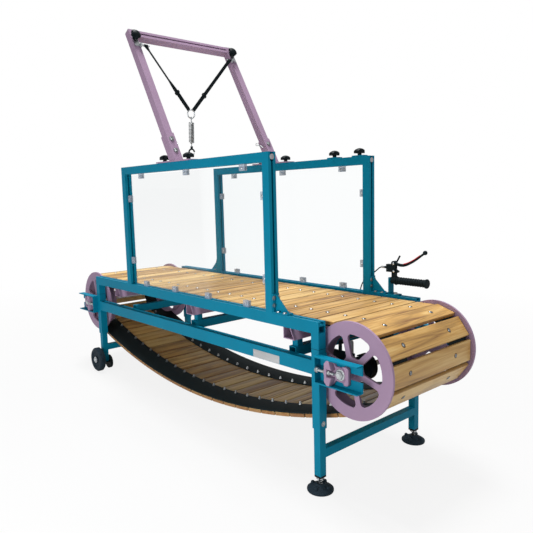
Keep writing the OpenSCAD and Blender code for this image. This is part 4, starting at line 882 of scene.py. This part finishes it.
class MILL_OT_bearings(bpy.types.Operator):
    """Cast bearing blocks, threaded tension rods with their nuts, and the axle nuts"""

    bl_idname = "mill.bearings"
    bl_label = "Bearings"

    def execute(self, context):
        pitch = sizes().thread_pitch * 1000
        wall = DRUM_X - BLOCK_HALF
        nuts = (
            (END_PLATE, 1, 19, 10, 0.62), (wall, -1, 19, 9, 0.62), (wall + BLOCK_WALL + 0.4, 1, 18, 10, 0.56),
        )
        shells = []
        for end in SIDES:
            foot = both_sides(end * END_PLATE, ROD_Y, DRUM_Z)
            shells.append(lathe(thread(6, ROD_END - END_PLATE, pitch), foot, end * ALONG, 16))
            for x, way, *hexagon in nuts:
                shells += hex_heads(both_sides(end * x, ROD_Y, DRUM_Z), end * way * ALONG, *hexagon)
        zinc_bits("tension_rods", shells, "frame", ("tension_bolts",))
        axes = both_sides(0, 1, 0)
        for label, end in (("front", 1), ("rear", -1)):
            spots = both_sides(end * DRUM_X, RECESS_Y + 0.4, DRUM_Z)
            shells = hex_heads(spots, axes, 30, 11, 0.72)
            shells.append(lathe(thread(10, 16, pitch), spots, axes, 18))
            zinc_bits(f"axle_nuts_{label}", shells, f"{label}_drum")
        self.blocks()
        return {"FINISHED"}

    def blocks(self):
        """A forked end round the tension rod, a waist, and a shorter wing in front of the axle's hub."""
        fork = ((-BLOCK_HALF, 35.6), (-50, 47.6), (-38.4, 47.6), (-25, 15), (-50, 15))
        wing = ((28, 10), (25, 18), (19, 36), (35, 35), (41, 29))
        waist = (*fork[:2], (-40, 47.6), (-22, 27), (8, 29), *wing[2:])
        shells = []
        for half, face, ease in ((fork, FORK_FACE, 2.5), (waist, RECESS_Y, 1.5), (wing, WING_FACE, 2.0)):
            outline = np.array([*half, *((x, -z) for x, z in half[::-1])])
            shells.append(casting(outline, BLOCK_BACK, face, ease))
        hub = ((28, BLOCK_BACK), (28, HUB_FACE - 2), (26.8, HUB_FACE), (23.6, HUB_FACE), (22.4, RECESS_Y))
        shells.append(lathe(hub, (0, 0, 0), ACROSS, 36)[0])
        ends = [(end, side) for end in SIDES for side in SIDES]
        rings = [deck(v * (end, side, 1) + (end * DRUM_X, 0, DRUM_Z)) for v in shells for end, side in ends]
        piece("cast_blocks", rings, "lilac", "frame", ("bearing_blocks",))


class MILL_OT_mast(bpy.types.Operator):
    """Socket bolts, hairpin clips and the grey plugs on the uprights"""

    bl_idname = "mill.mast"
    bl_label = "Mast fittings"

    def execute(self, context):
        spots = [mast((SOCKET_HALF, side * RAIL_Y, k * SOCKET_LEN)) for side in SIDES for k in (0.3, 0.75)]
        shells = hex_heads(spots, MAST_FRONT, 19, 8, 0.72)
        for side in SIDES:
            inner = side * (RAIL_Y - SOCKET_HALF)
            pin = mast((-PIN_BACK, inner, PIN_UP))
            shells.append(lathe([(4, 0), (4, 17), (3.2, 18)], pin, -side * ACROSS, 14))
            path = mast([(x - PIN_BACK, inner - side * 12, PIN_UP + a) for x, a in HAIRPIN])
            shells.append(wire(path, 1.5, 8))
        # Painted shade: the mast's bolts and clips take a darker copy of the zinc.
        zinc_bits("mast_bolts", shells, "mast", finish="grey_zinc")
        rows = ((PROFILE, 0.2), (PROFILE, 2.4), (PROFILE - 3, 3.8))
        plug = np.stack([np.insert(round_box(w, w, 3), 2, UPRIGHT_LEN + up, 1) for w, up in rows])
        plugs = [deck(mast(plug + [0, side * RAIL_Y, 0])) for side in SIDES]
        piece("upright_plugs", plugs, "cap", "mast")
        return {"FINISHED"}


class MILL_OT_tether(bpy.types.Operator):
    """Webbing straps with sliders, and the coil spring with its top hook"""

    bl_idname = "mill.tether"
    bl_label = "Tether"

    def execute(self, context):
        self.straps(sizes().strap_width)
        self.spring(sizes().spring_wire / 2, sizes().spring_turns)
        return {"FINISHED"}

    def straps(self, wide):
        """Flat bands from the eyes to the ring, doubled at both ends and turned a little between them."""
        flat = round_box(wide, 0.0018, 0.0007, 2)
        shells, weave, sliders = [], [], []
        for side in SIDES:
            top = np.array([EYE[0], side * STRAP_TOP_Y, EYE[2]])
            run = np.array([EYE[0], side * STRAP_LOW_Y, STRAP_LOW_Z]) - top
            across = unit(np.cross(run, ALONG))
            for first, last, lift in ((0.01, 1.0, 0.0), (0.69, 0.985, PLY_GAP), (0.0, 0.07, PLY_GAP)):
                share = np.linspace(first, last, 36)
                path = top + run * share[:, None] + lift * ALONG
                turn = (0.4 - 0.25 * side) * np.clip(share / 0.06, 0, 1) * np.clip(4.4 - share / 0.15, 0, 1)
                twist = np.outer(np.cos(turn), across) + np.outer(np.sin(turn), ALONG)
                shells.append(carried(path, flat, twist))
                part = share[:, None] * np.linalg.norm(run)
                grid = np.stack(np.broadcast_arrays(part, flat[None, :, 0], 0 * flat[None, :, 0]), -1)
                weave.append(grid.reshape(-1, 3))
            hem = [(0.0043, -wide / 2), (0.0066, -wide / 2), (0.0066, wide / 2), (0.0043, wide / 2)]
            loop = lathe(hem, top, ACROSS, 24)
            shells.append((loop[0], True))
            weave.append(loop.reshape(-1, 3)[:, [1, 2, 0]])
            middle = top + run * SLIDER_AT + PLY_GAP / 2 * ALONG
            outline = round_box(wide + 0.007, 0.015, 0.004, 5)
            ring = middle + across * outline[:, :1] + unit(run) * outline[:, 1:]
            round_wire = oval(SLIDER_WIRE, SLIDER_WIRE, 8)
            around = carried(np.concatenate([ring, ring[:1]]), round_wire, ALONG)
            sliders.append((around[:-1], True))
            reach = np.linspace(-wide / 2 - 0.004, wide / 2 + 0.004, 6)[:, None]
            sliders.append(carried(middle + across * reach + [0.002, 0, 0], round_wire, ALONG))
        marks = {"weave": np.concatenate(weave)}
        piece("strap_webbing", shells, "web", "tether", ("tether_straps",), marks)
        piece("strap_sliders", sliders, "plastic", "tether")

    def spring(self, r, turn):
        """A helix that closes in at both ends, a straight foot to the snap hook, and a hook over the ring."""
        t = np.linspace(0, turn, turn * 18 + 1)
        grow = np.clip(np.minimum(t, turn - t) / 0.75, 0.02, 1) * SPRING_R
        top = SPRING_TOP - SPRING_TAIL
        a = 2 * np.pi * t
        coil = np.stack([grow * np.cos(a), grow * np.sin(a), top - SPRING_LEN * t / turn], 1)
        foot = [(0, 0, top - SPRING_LEN - 0.5 * SPRING_TAIL), (0, 0, HOOK_TOP + 0.0005)]
        path = np.concatenate([coil, foot]) + [EYE[0], 0, 0]
        section = oval(r, r, 10)
        body = carried(path, section, (0.13, 0.97, 0.2))
        # Painted shade: the spring and its hook take a darker copy of the zinc, for the shade its coils cast on
        # each other.
        made = piece("coil_spring", [body], "grey_zinc", None, ("tether_spring",))
        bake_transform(made)
        a = np.linspace(0.85 * np.pi, -0.5 * np.pi, 16)
        over = np.stack([0.0062 * np.cos(a), 0 * a, RING_WIRE_Z + 0.0062 * np.sin(a)], 1)
        stem = np.linspace(over[-1], (0, 0, top + 0.001), 6)[1:]
        bend = np.concatenate([over, stem]) + [EYE[0], 0, 0]
        piece("spring_top_hook", [carried(bend, section, ACROSS)], "grey_zinc", "tether")


class MILL_OT_brake(bpy.types.Operator):
    """Ribbed grip, curved lever with its stripe, screws, and the cable with its barrel"""

    bl_idname = "mill.brake"
    bl_label = "Brake handle"

    def execute(self, context):
        self.grip(GRIP_END - GRIP_X, sizes().rib_pitch * 1000)
        self.lever()
        path = deck(wire(CABLE_ROUTE, 2.9, 12))
        piece("cable_sheath", [path], "plastic", "frame", ("brake_cable",))
        barrel = [(4.2, 0), (5.6, 1), (5.6, 8), (4.4, 9), (4.4, 11), (5.4, 12), (5.4, 19), (3.4, 21)]
        screws = [(PIVOT_X + x, RAIL_Y - BODY_FACE, z) for x, z in ((0, PIVOT_Z), (2, CLAMP_Z))]
        shells = [lathe(barrel, (BARREL_X, RAIL_Y, BARREL_Z), -ALONG, 18), button_heads(screws, -ACROSS, 6)]
        zinc_bits("handle_screws", shells, "frame")
        pinch = hex_heads((PIVOT_X + 14, RAIL_Y, CLAMP_Z), ALONG, 11, 12, 0.8)
        piece("pinch_bolt", [deck(v) for v in pinch], "paint", "frame")
        return {"FINISHED"}

    def grip(self, run, pitch):
        """A turned sleeve with a row of rounded ribs between two flanges."""
        h = np.arange(8, run - 14, pitch / 8)
        ribs = np.stack([16.2 + 1.9 * np.clip(1.6 * np.cos(2 * np.pi * h / pitch), -1, 1), h], 1)
        collar = [(11.0, 0), (20.5, 0), (21.5, 1.2), (21.5, 3), (20, 4.6), (17, 6.2)]
        back = ((17.4, 12), (21.0, 9), (21.5, 7.5), (21.5, 3), (19.5, 0.8), (15, 0), (4, 0))
        profile = np.concatenate([collar, ribs, [(r, run - d) for r, d in back]])
        sleeve = lathe(profile, (GRIP_X, RAIL_Y, BAR_Z), ALONG, 40)
        piece("ribbed_grip", [deck(sleeve)], "grip", "frame", ("grip",))

    def lever(self):
        """An oval blade carried through the lever's bends and thinned to its end, with a ball and a hub."""
        bends = [(PIVOT_X + x, RAIL_Y, PIVOT_Z + z) for x, z in LEVER_BENDS]
        path = smooth_path(bends, 10)
        size = np.linspace(1.0, 0.62, len(path))
        blade = carried(path, oval(5.0, 8.0, 16), ACROSS, size)
        a = np.linspace(-0.49 * np.pi, 0.49 * np.pi, 12)
        ball = lathe(np.stack([10.5 * np.cos(a), 10.5 * np.sin(a)], 1), bends[-1], ACROSS, 20)
        hub = lathe([(11.5, -4.4), (12.4, -3.4), (12.4, 3.4), (11.5, 4.4)], bends[0], ACROSS, 28)
        shells = [deck(v) for v in (blade, ball, hub)]
        piece("curved_lever", shells, "paint", "lever", ("lever_blade",))
        lift = np.array([-0.25, 0, 1.0]) * (6.6 * size[:, None])
        stripe = carried((path + lift)[11:27], oval(4.6, 2.4, 12), ACROSS)
        piece("lever_stripe", [deck(stripe)], "red", "lever")


class MILL_OT_feet(bpy.types.Operator):
    """Domed foot pads with lugs, threaded foot screws with nuts, and the wheels' axle heads"""

    bl_idname = "mill.feet"
    bl_label = "Feet and wheels"

    def execute(self, context):
        for label in ("near", "far"):
            self.pad(label)
        ridges = thread(8.3, 20, sizes().thread_pitch * 1000)
        shells = [lathe(ridges, both_sides(LEG_X, RAIL_Y, STEM_BOT), UP, 18)]
        shells += hex_heads(both_sides(LEG_X, RAIL_Y, LOCK_NUT_Z), UP, 29, 8.4, 0)
        zinc_bits("foot_screws", shells, "front_legs")
        spots, axes = both_sides(-LEG_X, WHEEL_FACE, WHEEL_Z), both_sides(0, 1, 0)
        shells = hex_heads(spots, axes, 22, 7.6, 0)
        shells.append(lathe([(19, 0), (19, 1.6), (13, 2.2)], spots, axes, 28))
        zinc_bits("wheel_bolts", shells, "rear_legs")
        return {"FINISHED"}

    def pad(self, label):
        """A turned rubber dome with a rim and a step, and four lugs on its slope."""
        low, high = (np.array(v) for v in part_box(f"foot_{label}"))
        at = np.array([(low[0] + high[0]) / 2, (low[1] + high[1]) / 2, low[2]])
        r, h = (high[0] - low[0]) / 2, high[2] - low[2]
        slope = (
            (0.9, 0), (0.985, 0.03), (1, 0.12), (1, 0.26), (0.93, 0.36), (0.87, 0.4), (0.85, 0.45),
            (0.74, 0.55), (0.6, 0.66), (0.46, 0.78), (0.36, 0.92), (0.32, 1.0), (0.2, 1.0),
        )
        dome = lathe(np.array(slope) * (r, h), at, UP, 56)
        turn = 0.24 + np.arange(4) * np.pi / 2
        spots = at + np.stack([0.66 * r * np.cos(turn), 0.66 * r * np.sin(turn), 0 * turn + 0.5 * h], 1)
        lug = np.array([(0.16, 0), (0.15, 0.32), (0.11, 0.4), (0.03, 0.4)]) * (r, h)
        shells = [dome, lathe(lug, spots, UP, 14)]
        piece(f"rubber_foot_{label}", shells, "rubber", f"{label}_pad", (f"foot_{label}",))


class MILL_OT_studio(bpy.types.Operator):
    """Pale floor, soft lights, white surround and the camera"""

    bl_idname = "mill.studio"
    bl_label = "Studio"

    def execute(self, context):
        scene = bpy.context.scene
        scene.view_settings.view_transform = "Standard"
        self.camera(scene)
        self.surround(scene)
        self.floor(scene)
        self.lamps(scene)
        return {"FINISHED"}

    def camera(self, scene):
        """Turned by yaw, pitch and roll in the deck's frame, then tilted with the deck."""
        yaw, pitch, roll = (math.radians(v) for v in CAMERA_TURN)
        ahead = np.array([-math.sin(yaw) * math.cos(pitch), math.cos(yaw) * math.cos(pitch), math.sin(pitch)])
        right = np.array([math.cos(yaw), math.sin(yaw), 0.0])
        up = np.cross(right, ahead)
        level = right * math.cos(roll) + up * math.sin(roll)
        tall = up * math.cos(roll) - right * math.sin(roll)
        origin = deck(CAMERA_AT)
        axes = [unit(deck(CAMERA_AT + v * 1000) - origin) for v in (level, tall, -ahead)]
        data = bpy.data.cameras.new("photo_camera")
        data.sensor_width, data.lens = CAMERA_SENSOR, CAMERA_LENS
        data.clip_start, data.clip_end = 0.05, 200.0
        cam = bpy.data.objects.new("photo_camera", data)
        scene.collection.objects.link(cam)
        turn = Matrix([[float(a[i]) for a in axes] for i in range(3)])
        cam.matrix_world = Matrix.Translation(Vector(origin)) @ turn.to_4x4()
        scene.camera = cam

    def surround(self, scene):
        """White to the eye and through clear sheets, dimmer in reflections, and soft on the object."""
        scene.world = bpy.data.worlds.new("white_surround")
        s = Shade(scene.world, "ShaderNodeOutputWorld")
        soft, white = (s.node("ShaderNodeBackground", None, {"Strength": v}) for v in (0.25, 1.0))
        for light in (soft, white):
            light.inputs["Color"].default_value = (1.0, 1.0, 1.0, 1.0)
        s.mixed(s.seen(), soft, white)

    def floor(self, scene):
        """A pale floor that keeps a light shadow near the object and goes to white further off."""
        s = shade("studio_floor")
        away = s.val("ShaderNodeVectorMath", {"operation": "LENGTH"}, {0: s.place}, "Value")
        matt = s.node("ShaderNodeBsdfDiffuse", None, {"Color": (0.55, 0.55, 0.55, 1.0)})
        white = s.node("ShaderNodeEmission", None, {"Strength": 1.0})
        finish = s.mixed(s.seen() * (0.86 + (away - 1.2).clamped(0.35) * 0.14), matt, white)
        edge = np.array([[-40, -40], [40, -40], [40, 40], [-40, 40]], float)
        mesh = bpy.data.meshes.new("studio_floor")
        mesh.from_pydata(np.column_stack([edge, np.zeros(4)]).tolist(), [], [[0, 1, 2, 3]])
        mesh.materials.append(finish)
        made = bpy.data.objects.new("studio_floor", mesh)
        scene.collection.objects.link(made)

    def lamps(self, scene):
        """Three square lamps, turned to the middle of the object."""
        for name, at, size, power in LAMPS:
            data = bpy.data.lights.new(name, "AREA")
            data.energy, data.size = power, size
            lamp = bpy.data.objects.new(name, data)
            scene.collection.objects.link(lamp)
            lamp.location = at
            lamp.rotation_euler = Vector(LAMP_AIM - np.array(at)).to_track_quat("-Z", "Y").to_euler()


STEPS = (
    MILL_OT_studio, MILL_OT_finishes, MILL_OT_boards, MILL_OT_belts, MILL_OT_fasteners,
    MILL_OT_bearings, MILL_OT_mast, MILL_OT_tether, MILL_OT_brake, MILL_OT_feet,
)


class MILL_PT_panel(bpy.types.Panel):
    """Lists the dressing's steps and settings"""

    bl_idname = "MILL_PT_panel"
    bl_label = "Slat Mill"
    bl_space_type = "VIEW_3D"
    bl_region_type = "UI"
    bl_category = "Slat Mill"

    def draw(self, context):
        for step in STEPS:
            self.layout.operator(step.bl_idname)
        for group in (context.scene.mill_sizes, context.scene.mill_colours):
            for key in group.__annotations__:
                self.layout.prop(group, key)


CLASSES = (MillSizes, MillColours, *STEPS, MILL_PT_panel)


def register():
    for cls in CLASSES:
        bpy.utils.register_class(cls)
    bpy.types.Scene.mill_sizes = PointerProperty(type=MillSizes)
    bpy.types.Scene.mill_colours = PointerProperty(type=MillColours)


def unregister():
    del bpy.types.Scene.mill_colours
    del bpy.types.Scene.mill_sizes
    for cls in reversed(CLASSES):
        bpy.utils.unregister_class(cls)


def main():
    register()
    for step in STEPS:
        group, name = step.bl_idname.split(".")
        getattr(getattr(bpy.ops, group), name)()
    bpy.context.view_layer.update()


if __name__ == "__main__":
    main()
